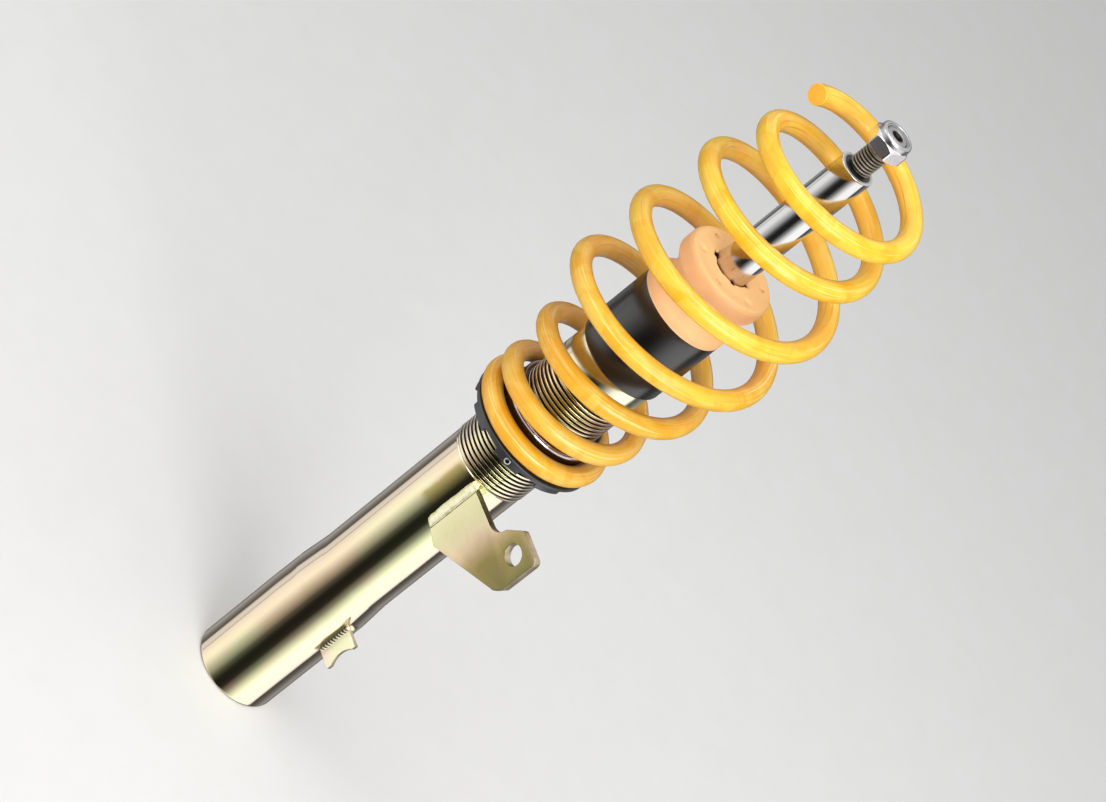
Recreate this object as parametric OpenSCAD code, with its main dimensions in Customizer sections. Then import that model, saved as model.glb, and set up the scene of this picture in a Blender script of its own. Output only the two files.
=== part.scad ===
// Coilover strut for a front axle: a threaded strut tube, a spring seat that
// screws along it, a barrel spring, a foam bump stop in a dust sleeve and a
// piston rod. Heights are counted up the strut axis from the lower end of the
// tube, and the whole is then set down so that the origin lies in the middle of
// the clamped length. The face of the link bracket looks along -Y. Sizes are in
// millimetres.

/* [Strut tube] */
// Outer diameter of the foot that the hub carrier clamps
foot_d = 55; // [50:0.5:60]
// Height of the foot
foot_h = 87; // [80:1:110]
// Length of the foot that is sized for the clamp
clamp_h = 62; // [50:1:66]
// How much less radius the foot has above the clamped length
clamp_step = 0.3; // [0.28:0.02:0.6]
// Height over which the foot narrows to the body
swage_h = 21; // [12:1:30]
// Outer diameter of the plain body
body_d = 51.5; // [48:0.5:54]
// Height of the plain body below the thread
body_h = 115.9; // [105:0.1:140]
// Wall of the tube
tube_wall = 2.5; // [2:0.1:3.5]
// Radius of the lower outer edge
foot_edge = 2; // [0.5:0.1:2.4]

/* [Tube thread] */
// Diameter over the thread crests
thread_d = 52.5; // [51.5:0.1:55]
// Rise of the thread in one turn
thread_pitch = 3; // [2:0.25:4]
// Number of turns
thread_turns = 29; // [20:1:34]
// Depth from crest to root
thread_depth = 0.9; // [0.5:0.05:1.1]
// Diameter of the smooth land above the thread
land_d = 52.2; // [51:0.1:52.4]
// Height of the land
land_h = 21.1; // [18:0.1:30]

/* [Base cap] */
// Thickness of the cap that closes the foot
cap_t = 6; // [4:0.5:9]
// How far the cap sits inside the lower edge
cap_inset = 1.5; // [0.5:0.1:3]

/* [Link bracket] */
// Plate thickness
plate_t = 5; // [4:0.25:6]
// Distance from the strut axis to the middle of the plate
plate_y = 20.5; // [18:0.25:21]
// Height of the lower end of the plate's root
root_z = 183.5; // [176:0.5:186]
// Height of the root
root_h = 38; // [34:0.5:42]
// Distance from the strut axis to the link eye
eye_x = 68; // [64:0.5:76]
// Height of the link eye
eye_z = 229.5; // [228:0.5:236]
// Diameter of the link eye
eye_d = 12.4; // [12:0.1:14]
// Plate beyond the eye centre at the outer end
eye_edge = 13; // [11:0.5:16]
// Plate above the eye centre
eye_top = 12; // [10:0.5:14]
// Plate between the eye and the inner corner
eye_back = 9.2; // [7:0.1:11]
// Radius of the inner corner between root and eye
throat_r = 9; // [6:0.5:9]
// Radius of the outer corners
corner_r = 3.5; // [1:0.5:5]
// Width of the bevel that carries the weld
bevel_w = 4.1; // [3:0.1:6]

/* [Locating lug] */
// Thickness of the lug
lug_t = 3; // [2:0.25:5]
// Length of the lug along the tube
lug_h = 24.5; // [18:0.5:30]
// How far the lug stands out from the foot
lug_out = 11.7; // [10:0.1:16]
// Radius of the hollow in its outer edge
lug_hollow = 18; // [12:0.5:24]
// Flat left at each end of the outer edge
lug_flat = 2.25; // [1:0.25:4]
// Radius of the weld beads
bead_r = 2.2; // [1.5:0.1:3]

/* [Spring collar] */
// Height of the collar's lower edge
collar_z = 251.6; // [248:0.1:262]
// Diameter of the notched crown under the flange
crown_d = 76.6; // [72:0.2:80]
// Height of the crown
crown_h = 5.2; // [4.8:0.1:8]
// Diameter of the flange
flange_d = 83.2; // [80:0.2:92]
// Thickness of the flange
flange_t = 2; // [1.8:0.1:4]
// Diameter of the neck that centres the spring
neck_d = 62; // [60:0.5:66]
// Height of the neck
neck_h = 28.7; // [20:0.1:32]
// Number of spanner notches in the lower edge
notch_n = 8; // [6:1:10]
// Width of a notch
notch_w = 13; // [8:0.5:14]
// Depth of a notch
notch_h = 3.2; // [2:0.1:3.4]
// Diameter of the lock screw
screw_d = 4.4; // [3:0.1:5]
// Height of the lock screw above the lower edge
screw_up = 2.6; // [2.4:0.1:4]

/* [Coil spring] */
// Wire diameter
wire_d = 12.2; // [10:0.1:13]
// Number of turns
coil_turns = 7; // [6:0.5:9]
// Height from the first wire centre to the last
coil_h = 244.5; // [225:0.5:300]
// Radius of the widest turns to the wire centre
belly_r = 58; // [50:0.5:64]
// Radius of the upper turns to the wire centre
crown_r = 46; // [40:0.5:50]
// Clear gap between the two closed turns
dead_gap = 1.2; // [1.1:0.1:3]

/* [Bump stop and dust sleeve] */
// Diameter of the foam's top flange
foam_d = 58.4; // [54:0.2:62]
// Diameter of the foam's waist
waist_d = 46.6; // [40:0.2:50]
// Height of the foam above the sleeve
foam_up = 37; // [34:0.5:50]
// Diameter of the hole for the rod
foam_bore = 23.4; // [23:0.1:26]
// Number of dimples in the top face
dimple_n = 6; // [4:1:8]
// How far the sleeve's outside stands out from the tube
sleeve_out = 2.1; // [1.9:0.1:4]
// Wall of the sleeve
sleeve_wall = 1.4; // [1:0.1:1.5]
// Height of the sleeve
sleeve_h = 50; // [40:1:60]
// How far the sleeve reaches down over the tube
sleeve_lap = 4; // [2:0.5:8]

/* [Piston rod] */
// Rod diameter
rod_d = 22; // [20:0.5:22.5]
// Rod above the tube when it is drawn right out
rod_out = 176; // [170:1:200]
// Diameter of the threaded shank
shank_d = 14; // [12:0.5:16]
// Length of the shank
shank_h = 29.4; // [29:0.1:40]
// Rise of the shank's thread in one turn
shank_pitch = 2; // [1.5:0.25:2.5]
// Depth of the shank's thread from crest to root
shank_cut = 1.1; // [0.8:0.05:1.3]
// Depth of the key socket in the shank
socket_h = 8; // [5:0.5:12]
// Width of the key socket across its flats
socket_w = 5; // [4:0.5:6]

/* [Top nut] */
// Width of the nut across its flats
nut_w = 21; // [20:0.5:24]
// Height of the hexagon
nut_h = 9; // [7:0.5:12]
// Height of the round crimp above the hexagon
crimp_h = 3.9; // [3:0.1:5]
// Height of the nut above the rod's shoulder
nut_up = 17.3; // [14:0.1:17.5]

/* [Damper insides] */
// Bore of the working cylinder
bore_d = 32; // [30:0.5:34]
// Wall of the working cylinder
bore_wall = 1.5; // [1:0.1:2]
// Thickness of the gland ring in the top of the tube
gland_h = 8; // [6:0.5:12]
// Thickness of the rod seal
seal_h = 6; // [4:0.5:9]
// Height of the rod guide's head
head_h = 14; // [10:1:20]
// Length of the guide's spigot in the cylinder
spigot_h = 12; // [8:1:16]
// Height of the stop ring on the rod
stop_h = 10; // [6:1:14]
// Length of rod between the stop ring and the piston
rod_span = 85; // [60:1:100]
// Height of the piston
piston_h = 18; // [14:1:24]
// Width of the piston band
band_w = 10; // [6:1:12]
// Height of a stack of shims
shim_h = 3; // [2:0.5:4]
// Diameter of the stud that carries the piston
stud_d = 12; // [10:0.5:13]
// Height of the piston nut
pnut_h = 10; // [7:0.5:12]
// Height of the foot valve's body
valve_h = 14; // [10:1:20]

/* [Fits] */
// Radial gap where one part slides or turns on another
run_gap = 0.05; // [0.02:0.01:0.1]
// Radial gap between the thread crests and the collar
crest_gap = 0.2; // [0.1:0.05:0.4]
// Gap between the spring and what it sits on
seat_gap = 0.3; // [0.2:0.05:0.6]

/* [Hidden] */
$fn = 96;
eps = 0.01;

clamp_top = foot_edge + clamp_h;
origin_z = foot_edge + clamp_h / 2;
upper_foot = foot_d / 2 - clamp_step;
body_z = foot_h + swage_h;
thread_z = body_z + body_h;
land_z = thread_z + thread_turns * thread_pitch;
tube_top = land_z + land_h;
foot_in = foot_d / 2 - tube_wall;
body_in = body_d / 2 - tube_wall;

plate_front = plate_y + plate_t / 2;
plate_back = plate_y - plate_t / 2;
touch_x = sqrt(pow(body_d / 2, 2) - pow(plate_back, 2));
bevel_x = touch_x + bevel_w;

flange_z = collar_z + crown_h;
flange_top = flange_z + flange_t;
collar_in = thread_d / 2 + crest_gap;
screw_turn = -52;
notch_turn = screw_turn + 180 / notch_n;

// The spring's wire is drawn with eight sides of the same area as the round
wire_sides = 8;
ring_per_turn = 24;
wire_r = wire_d / 2 * sqrt(360 / wire_sides * PI / 180 / sin(360 / wire_sides));
wire_flat = wire_r * cos(180 / wire_sides);
seat_r = (neck_d / 2 + seat_gap + wire_flat) / cos(180 / ring_per_turn);
coil_z = flange_top + seat_gap + wire_flat;
coil_start = -168;

foam_z = tube_top + seat_gap;
sleeve_z = tube_top - sleeve_lap;
sleeve_top = sleeve_z + sleeve_h;
foam_top = sleeve_top + foam_up;
sleeve_r = land_d / 2 + sleeve_out;
sleeve_in = sleeve_r - sleeve_wall;
lip_in = land_d / 2 + crest_gap;

shoulder_z = tube_top + rod_out;
nut_z = shoulder_z + nut_up;
gland_z = tube_top - gland_h;
seal_z = gland_z - seal_h;
head_z = seal_z - head_h;
spigot_z = head_z - spigot_h;
stop_z = spigot_z - seat_gap - stop_h;
stud_z = stop_z - rod_span;
piston_z = stud_z - shim_h - piston_h;
pnut_z = piston_z - shim_h - pnut_h;
cap_top = cap_inset + cap_t;
valve_z = cap_top + 6;
bush_r = rod_d / 2 + 2;

function arc(cx, cy, r, a, b, n) = [for (i = [0:n]) [cx + r * cos(a + (b - a) * i / n),
    cy + r * sin(a + (b - a) * i / n)]];

// Smooth curve through the rows of a table, t counted in rows
function curve(rows, t, c) = let (n = len(rows) - 1, i = min(max(floor(t), 0), n - 1), f = t - i,
    p0 = rows[max(i - 1, 0)][c], p1 = rows[i][c], p2 = rows[i + 1][c], p3 = rows[min(i + 2, n)][c])
    p1 + f * (p2 - p0) / 2 + f * f * (2 * p0 - 5 * p1 + 4 * p2 - p3) / 2
    + f * f * f * (3 * p1 - p0 - 3 * p2 + p3) / 2;

// A ring of revolution from inner radius a to outer radius b
module ring(a, b, z, h) {
    translate([0, 0, z])
        rotate_extrude()
            translate([a, 0])
                square([b - a, h]);
}

// Crests and roots of the tube thread, one ridge for each turn
ridge = [for (i = [0:thread_turns - 1]) each let (z = thread_z + i * thread_pitch, p = thread_pitch,
    c = thread_d / 2, d = thread_depth)
    [[c - d, z], [c - 0.25 * d, z + 0.22 * p], [c, z + 0.38 * p], [c, z + 0.52 * p],
    [c - 0.25 * d, z + 0.68 * p], [c - d, z + 0.9 * p]]];

module strut_tube() {
    color("#c9b98a")
        rotate_extrude()
            polygon(concat(
                [[foot_in, 0]],
                arc(foot_d / 2 - foot_edge, foot_edge, foot_edge, -90, 0, 8),
                [[foot_d / 2, clamp_top], [upper_foot, clamp_top + clamp_step]],
                [[upper_foot, foot_h], [body_d / 2, body_z], [body_d / 2, thread_z]],
                ridge,
                [[land_d / 2, land_z], [land_d / 2, tube_top - 1], [land_d / 2 - 1, tube_top]],
                [[body_in, tube_top], [body_in, body_z], [foot_in, foot_h]]));
}

module base_cap() {
    color("#b9ab80")
        rotate_extrude()
            polygon([[0, cap_inset + 1.5], [foot_in - 6, cap_inset + 1.5], [foot_in - 3, cap_inset],
                [foot_in, cap_inset], [foot_in, cap_top], [0, cap_top]]);
}

// Plate outline in X and Z, from the lower root corner round to the upper one
module plate_outline() {
    end_x = eye_x + eye_edge;
    top_z = eye_z + eye_top;
    root_top = root_z + root_h;
    throat_x = eye_x - eye_d / 2 - eye_back - throat_r;
    polygon(concat(
        [[0, root_z], [bevel_x, root_z], [bevel_x + 9.5, root_z - 2.5]],
        [[end_x - 3, eye_z - 21.5]],
        arc(end_x - corner_r, eye_z - 17.5 + corner_r, corner_r, -45, 0, 5),
        arc(end_x - corner_r, top_z - corner_r, corner_r, 0, 90, 6),
        [[eye_x - 8, top_z], [eye_x - 11.5, top_z - 3.5]],
        arc(throat_x, root_top + 0.5 + throat_r, throat_r, 0, -90, 8),
        [[bevel_x, root_top], [0, root_top]]));
}

module link_bracket() {
    color("#cbbf92")
        difference() {
            translate([0, -plate_back, 0])
                rotate([90, 0, 0])
                    linear_extrude(plate_t)
                        plate_outline();
            translate([0, 0, root_z - 10])
                linear_extrude(root_h + 20)
                    polygon([[-1, -plate_back + 1], [touch_x, -plate_back + 1], [touch_x, -plate_back],
                        [bevel_x, -plate_front], [bevel_x, -plate_front - 1], [-1, -plate_front - 1]]);
            translate([eye_x, 0, eye_z])
                rotate([90, 0, 0])
                    cylinder(d = eye_d, h = 2 * plate_front);
        }
}

// Two welds join the plate to the tube: one fills the bevel, one lies behind
module bracket_weld() {
    color("#d8d2a8")
        difference() {
            union() {
                translate([0, 0, root_z + 0.8])
                    linear_extrude(root_h - 2)
                        polygon([[touch_x - 4, -plate_back], [touch_x, -plate_back],
                            [bevel_x, -plate_front], [(bevel_x + touch_x) / 2 - 1.2, -plate_y - 1.9],
                            [touch_x - 4, -plate_y + 0.4]]);
                translate([0, 0, root_z + 2])
                    linear_extrude(root_h - 4)
                        polygon([[touch_x - 2, -plate_back], [touch_x + 3.6, -plate_back],
                            [touch_x + 3.4, -plate_back + 1.8], [touch_x + 2.6, -plate_back + 3.6],
                            [touch_x - 2, -plate_back + 3.6]]);
            }
            translate([0, 0, root_z - 1])
                cylinder(d = body_d, h = root_h + 2);
        }
}

module locating_lug() {
    x = foot_d / 2 + lug_out;
    half = lug_h / 2 - lug_flat;
    deep = sqrt(lug_hollow * lug_hollow - half * half);
    turn = asin(half / lug_hollow);
    color("#c4b78c")
        difference() {
            translate([0, lug_t / 2, 0])
                rotate([90, 0, 0])
                    linear_extrude(lug_t)
                        polygon(concat(
                            [[upper_foot - 2, clamp_top], [x, clamp_top]],
                            arc(x + deep, clamp_top + lug_h / 2, lug_hollow, 180 + turn, 180 - turn, 10),
                            [[x, clamp_top + lug_h], [upper_foot - 2, clamp_top + lug_h]]));
            foot_core();
        }
}

// The space inside the foot and the swage, which trims what is welded on them
module foot_core() {
    rotate_extrude()
        polygon([[0, -1], [foot_d / 2, -1], [foot_d / 2, clamp_top],
            [upper_foot, clamp_top + clamp_step], [upper_foot, foot_h], [body_d / 2, body_z],
            [0, body_z]]);
}

// Rippled weld bead along Z, with its start at the origin
module bead(h) {
    n = round(h / 1.6);
    step = h / n;
    rotate_extrude()
        polygon(concat(
            [[0, 0]],
            [for (i = [0:n - 1]) each [[bead_r - 0.5, i * step], [bead_r, (i + 0.6) * step]]],
            [[bead_r - 0.7, h], [0, h]]));
}

module lug_weld() {
    color("#bba878")
        difference() {
            union() {
                for (side = [-1, 1])
                    translate([upper_foot, side * lug_t / 2, clamp_top + 0.6])
                        bead(lug_h - 0.6);
                translate([upper_foot, 0, clamp_top + lug_h])
                    cylinder(r1 = bead_r + lug_t / 2, r2 = bead_r, h = 2.2, $fn = 32);
            }
            foot_core();
            translate([upper_foot - 3, -lug_t / 2, clamp_top - 1])
                cube([lug_out, lug_t, lug_h + 1]);
        }
}

module cylinder_tube() {
    color("#9aa0a6")
        ring(bore_d / 2, bore_d / 2 + bore_wall, valve_z, head_z - valve_z);
}

module foot_valve() {
    color("#8d9298")
        difference() {
            rotate_extrude()
                polygon([[0, cap_top + 2], [bore_d / 2 - 4, cap_top + 2], [bore_d / 2 - 4, cap_top],
                    [bore_d / 2 + bore_wall, cap_top], [bore_d / 2 + bore_wall, valve_z],
                    [bore_d / 2, valve_z], [bore_d / 2, valve_z + valve_h - 1],
                    [bore_d / 2 - 1, valve_z + valve_h], [0, valve_z + valve_h]]);
            for (a = [0:60:300])
                rotate([0, 0, a])
                    translate([bore_d / 4, 0, cap_top])
                        cylinder(d = 4, h = valve_h + 8, $fn = 24);
            for (a = [0:90:270])
                rotate([0, 0, a])
                    translate([0, -3, cap_top - 1])
                        cube([bore_d / 2 + bore_wall + 1, 6, 3]);
        }
}

module rod_guide() {
    color("#a3a7ab")
        rotate_extrude()
            polygon([[bush_r, spigot_z], [bore_d / 2 - 0.8, spigot_z], [bore_d / 2, spigot_z + 0.8],
                [bore_d / 2, head_z], [body_in, head_z], [body_in, seal_z], [bush_r, seal_z]]);
}

module guide_bush() {
    color("#8a6f45")
        ring(rod_d / 2 + run_gap, bush_r, spigot_z + 1, head_h + spigot_h - 2);
}

module rod_seal() {
    color("#26282b")
        rotate_extrude()
            polygon([[rod_d / 2 + 1.2, seal_z], [body_in, seal_z], [body_in, gland_z],
                [rod_d / 2 + 2.4, gland_z], [rod_d / 2 + run_gap, gland_z - 1],
                [rod_d / 2 + run_gap, gland_z - 2], [rod_d / 2 + 1.2, gland_z - 3]]);
}

// Screwed ring that holds the seal down, with four holes for a pin spanner
module gland_ring() {
    color("#b7b9b4")
        difference() {
            rotate_extrude()
                polygon([[rod_d / 2 + 1, gland_z], [body_in, gland_z], [body_in, tube_top - 0.6],
                    [body_in - 0.6, tube_top], [rod_d / 2 + 2, tube_top], [rod_d / 2 + 1, tube_top - 1]]);
            for (a = [0:90:270])
                rotate([0, 0, a])
                    translate([(rod_d / 2 + body_in) / 2, 0, tube_top - gland_h / 2])
                        cylinder(d = 4, h = gland_h, $fn = 24);
        }
}

module spring_collar() {
    color("#2a2c2f")
        difference() {
            rotate_extrude()
                polygon([[collar_in + 0.8, collar_z], [crown_d / 2 - 0.6, collar_z],
                    [crown_d / 2, collar_z + 0.6], [crown_d / 2 + 0.5, flange_z - 0.6],
                    [crown_d / 2 + 1.1, flange_z], [flange_d / 2 - 0.4, flange_z],
                    [flange_d / 2, flange_z + 0.4], [flange_d / 2, flange_top - 0.6],
                    [flange_d / 2 - 0.6, flange_top], [neck_d / 2, flange_top],
                    [neck_d / 2, flange_top + neck_h - 1.2], [neck_d / 2 - 1.2, flange_top + neck_h],
                    [collar_in + 0.8, flange_top + neck_h], [collar_in, flange_top + neck_h - 0.8],
                    [collar_in, collar_z + 0.8]]);
            for (i = [0:notch_n - 1])
                rotate([0, 0, notch_turn + 360 / notch_n * i])
                    translate([collar_in - 4, -notch_w / 2, collar_z - 1])
                        cube([flange_d / 2, notch_w, notch_h + 1]);
            rotate([0, 0, screw_turn])
                translate([collar_in - 2, 0, collar_z + screw_up])
                    rotate([0, 90, 0])
                        cylinder(d = screw_d + 2 * run_gap, h = flange_d / 2, $fn = 32);
        }
}

module lock_screw() {
    tip = collar_in + 0.1;
    head = crown_d / 2 - 0.3;
    color("#b8bcc0")
        rotate([0, 0, screw_turn])
            translate([0, 0, collar_z + screw_up])
                rotate([0, 90, 0])
                    difference() {
                        translate([0, 0, tip])
                            cylinder(d = screw_d, h = head - tip, $fn = 32);
                        translate([0, 0, head - 2.5])
                            cylinder(d = screw_d * 0.58, h = 3, $fn = 6);
                    }
}

// Each row is one half turn of the wire: share of the rise above the closed
// turn, radius. The first three rows hold the closed turn on its seat.
dead_h = wire_d + dead_gap;
rise = coil_h - dead_h;
coil_rows = concat(
    [[0, seat_r], [0.14 * dead_h, seat_r], [dead_h, seat_r]],
    [for (s = [[0.065, 0.13], [0.136, 0.21], [0.233, 0.52], [0.320, 0.95], [0.421, 1],
        [0.521, 1], [0.622, 1]]) [dead_h + rise * s[0], seat_r + (belly_r - seat_r) * s[1]]],
    [for (s = [[0.732, 0.78], [0.814, 0.27], [0.892, 0.06], [0.9525, 0.03], [1, 0]])
        [dead_h + rise * s[0], crown_r + (belly_r - crown_r) * s[1]]]);
coil_rings = round(coil_turns * ring_per_turn);

// Row of the wire at an angle: the first turn takes two rows, and the other
// turns share the rest evenly
function coil_row(a) = let (u = (a - coil_start) / 360)
    u < 1 ? 2 * u : 2 + (u - 1) * (len(coil_rows) - 3) / (coil_turns - 1);
function coil_point(a) = let (t = coil_row(a), r = curve(coil_rows, t, 1))
    [r * cos(a), r * sin(a), coil_z + curve(coil_rows, t, 0)];
function unit(v) = v / norm(v);
coil_line = [for (i = [0:coil_rings]) coil_point(coil_start + 360 * coil_turns * i / coil_rings)];

module coil_spring() {
    tube = [for (i = [0:coil_rings]) each let (
        a = coil_start + 360 * coil_turns * i / coil_rings,
        p = coil_line[i],
        t = unit(coil_line[min(i + 1, coil_rings)] - coil_line[max(i - 1, 0)]),
        e = [cos(a), sin(a), 0],
        out = unit(e - (e * t) * t),
        up = cross(out, t))
        [for (k = [0:wire_sides - 1]) let (q = 360 / wire_sides * (k + 0.5))
            p + wire_r * (cos(q) * out + sin(q) * up)]];
    m = wire_sides;
    last = coil_rings * m;
    sides = [for (i = [0:coil_rings - 1]) for (k = [0:m - 1]) each let (j = (k + 1) % m)
        [[i * m + k, i * m + j, i * m + m + j], [i * m + k, i * m + m + j, i * m + m + k]]];
    ends = [for (k = [1:m - 2]) each [[0, k + 1, k], [last, last + k, last + k + 1]]];
    color("#e9b13c")
        polyhedron(points = tube, faces = concat(sides, ends));
}

// Least gap of the wire to itself, between rings at least half a turn apart
coil_gap = min([for (i = [0:coil_rings - ring_per_turn / 2])
    for (j = [i + ring_per_turn / 2:coil_rings]) norm(coil_line[i] - coil_line[j])]) - 2 * wire_r;
echo(least_gap_of_the_spring_to_itself = coil_gap);

// Foam profile as rows of height and radius, from the gland up to the flange
foam_rows = [[0, waist_d / 2 - 4], [5, waist_d / 2 - 2.4], [14, sleeve_in - 1], [20, sleeve_in - 0.8],
    [27, waist_d / 2 - 1], [31, waist_d / 2 - 0.6], [38, sleeve_in - 0.6]];
foam_head = [[0.5, sleeve_r + 0.1], [3, sleeve_r + 0.4], [6, sleeve_r - 0.2],
    [9.5, sleeve_r - 3], [foam_up - 23, waist_d / 2], [foam_up - 18.5, waist_d / 2 + 0.4],
    [foam_up - 14.3, foam_d / 2 - 2.6], [foam_up - 11, foam_d / 2], [foam_up - 3, foam_d / 2],
    [foam_up - 0.9, foam_d / 2 - 0.9], [foam_up, foam_d / 2 - 3]];

module bump_stop() {
    ring_r = (foam_bore / 2 + foam_d / 2) / 2 + 1.5;
    body = [for (t = [0:0.25:len(foam_rows) - 1])
        [curve(foam_rows, t, 1), foam_z + curve(foam_rows, t, 0)]];
    head = [for (t = [0:0.25:len(foam_head) - 1])
        [curve(foam_head, t, 1), sleeve_top + curve(foam_head, t, 0)]];
    color("#ffbe82")
        difference() {
            rotate_extrude()
                polygon(concat(
                    [[foam_bore / 2, foam_z]],
                    body,
                    [[sleeve_in - 0.6, sleeve_top], [sleeve_r, sleeve_top]],
                    head,
                    [[foam_bore / 2 + 1, foam_top], [foam_bore / 2, foam_top - 1]]));
            for (i = [0:dimple_n - 1])
                rotate([0, 0, -59 + 360 / dimple_n * i])
                    translate([ring_r, 0, foam_top + 1.4])
                        sphere(r = 3, $fn = 32);
        }
}

module dust_sleeve() {
    bend = 2.3;
    color("#3a3b3e")
        rotate_extrude()
            polygon(concat(
                [[lip_in, sleeve_z], [lip_in + 0.3, sleeve_z]],
                arc(sleeve_r - bend, sleeve_z + bend, bend, -70, 0, 6),
                [[sleeve_r, sleeve_top - 0.4], [sleeve_r - 0.4, sleeve_top]],
                [[sleeve_in, sleeve_top], [sleeve_in, sleeve_z + bend + 0.5], [lip_in, sleeve_z + 2]]));
}

// Crests and roots of the shank's thread above its relief
relief_h = 0.6 * shank_pitch;
shank_turns = floor((shank_h - 2 * relief_h) / shank_pitch);
shank_ridge = [for (i = [0:shank_turns - 1]) each let (
    z = shoulder_z + relief_h + i * shank_pitch, p = shank_pitch, r = shank_d / 2)
    [[r - shank_cut, z], [r, z + 0.45 * p], [r, z + 0.58 * p], [r - shank_cut, z + 0.94 * p]]];

module piston_rod() {
    color("#b9bdc2")
        difference() {
            rotate_extrude()
                polygon(concat(
                    [[0, pnut_z - 3], [stud_d / 2 - 1, pnut_z - 3], [stud_d / 2, pnut_z - 2],
                    [stud_d / 2, stud_z], [rod_d / 2, stud_z],
                    [rod_d / 2, stop_z + 3], [rod_d / 2 - 0.8, stop_z + 3],
                    [rod_d / 2 - 0.8, stop_z + stop_h - 3], [rod_d / 2, stop_z + stop_h - 3],
                    [rod_d / 2, shoulder_z - 0.5], [rod_d / 2 - 0.5, shoulder_z],
                    [shank_d / 2 - shank_cut, shoulder_z]],
                    shank_ridge,
                    [[shank_d / 2 - shank_cut, shoulder_z + shank_h], [0, shoulder_z + shank_h]]));
            translate([0, 0, shoulder_z + shank_h - socket_h])
                cylinder(d = socket_w / cos(30), h = socket_h + 1, $fn = 6);
            translate([0, 0, shoulder_z + shank_h - 0.6])
                cylinder(r1 = socket_w / 2, r2 = socket_w / 2 + 1, h = 1);
        }
}

// Stop ring pressed into the rod's groove
module stop_ring() {
    color("#7d838a")
        rotate_extrude()
            polygon([[rod_d / 2, stop_z], [rod_d / 2 + 3.2, stop_z], [rod_d / 2 + 4, stop_z + 0.8],
                [rod_d / 2 + 4, stop_z + stop_h - 0.8], [rod_d / 2 + 3.2, stop_z + stop_h],
                [rod_d / 2, stop_z + stop_h], [rod_d / 2, stop_z + stop_h - 3],
                [rod_d / 2 - 0.8, stop_z + stop_h - 3], [rod_d / 2 - 0.8, stop_z + 3],
                [rod_d / 2, stop_z + 3]]);
}

module piston() {
    r = bore_d / 2 - 0.5;
    groove_z = piston_z + (piston_h - band_w) / 2 - run_gap;
    groove_r = bore_d / 2 - run_gap - 1.1 - run_gap;
    color("#8f959b")
        difference() {
            rotate_extrude()
                polygon([[stud_d / 2, piston_z], [r - 1, piston_z], [r, piston_z + 1], [r, groove_z],
                    [groove_r, groove_z], [groove_r, groove_z + band_w + 2 * run_gap],
                    [r, groove_z + band_w + 2 * run_gap], [r, piston_z + piston_h - 1],
                    [r - 1, piston_z + piston_h], [stud_d / 2, piston_z + piston_h]]);
            for (a = [0:60:300])
                rotate([0, 0, a])
                    translate([(stud_d / 2 + groove_r) / 2, 0, piston_z - 1])
                        cylinder(d = 3.5, h = piston_h + 2, $fn = 24);
        }
}

module piston_band() {
    r = bore_d / 2 - run_gap;
    color("#5a4a38")
        ring(r - 1.1, r, piston_z + (piston_h - band_w) / 2, band_w);
}

// Thin steel discs above and below the piston, each stack smaller outward
module shim_stack() {
    wide = bore_d / 2 - 2;
    color("#a9adb2")
        union() {
            rotate_extrude()
                polygon([[stud_d / 2, piston_z + piston_h], [wide, piston_z + piston_h],
                    [wide, piston_z + piston_h + shim_h / 3], [wide - 2, piston_z + piston_h + shim_h / 3],
                    [wide - 2, piston_z + piston_h + shim_h * 2 / 3],
                    [wide - 4, piston_z + piston_h + shim_h * 2 / 3],
                    [wide - 4, stud_z], [stud_d / 2, stud_z]]);
            rotate_extrude()
                polygon([[stud_d / 2, piston_z], [wide, piston_z],
                    [wide, piston_z - shim_h / 3], [wide - 2, piston_z - shim_h / 3],
                    [wide - 2, piston_z - shim_h * 2 / 3], [wide - 4, piston_z - shim_h * 2 / 3],
                    [wide - 4, piston_z - shim_h], [stud_d / 2, piston_z - shim_h]]);
        }
}

module piston_nut() {
    color("#9b9fa4")
        difference() {
            translate([0, 0, pnut_z])
                cylinder(d = (stud_d + 7) / cos(30), h = pnut_h, $fn = 6);
            translate([0, 0, pnut_z - 1])
                cylinder(d = stud_d, h = pnut_h + 2);
        }
}

module top_nut() {
    corner = nut_w / cos(30) / 2;
    flat = nut_w / 2;
    color("#c3c6ca")
        difference() {
            union() {
                intersection() {
                    translate([0, 0, nut_z])
                        rotate([0, 0, -37])
                            cylinder(r = corner, h = nut_h, $fn = 6);
                    rotate_extrude()
                        polygon([[0, nut_z], [flat, nut_z], [corner + 0.1, nut_z + 1],
                            [corner + 0.1, nut_z + nut_h - 1], [flat - 0.2, nut_z + nut_h],
                            [0, nut_z + nut_h]]);
                }
                translate([0, 0, nut_z + nut_h - eps])
                    cylinder(r = flat - 0.2, h = crimp_h - 1 + eps);
                translate([0, 0, nut_z + nut_h + crimp_h - 1])
                    cylinder(r1 = flat - 0.2, r2 = flat - 0.8, h = 1);
            }
            translate([0, 0, nut_z - 1])
                cylinder(r = shank_d / 2 + run_gap, h = nut_h + crimp_h + 2);
            translate([0, 0, nut_z + nut_h])
                cylinder(r = shank_d / 2 + 1.8, h = crimp_h + 1);
        }
}

module nut_insert() {
    color("#8c9096")
        ring(shank_d / 2 + run_gap, shank_d / 2 + 1.8, nut_z + nut_h, crimp_h - 0.5);
}

// Sets a piece down from its height above the tube's lower end to the origin
module seated() {
    translate([0, 0, -origin_z])
        children();
}

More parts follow.
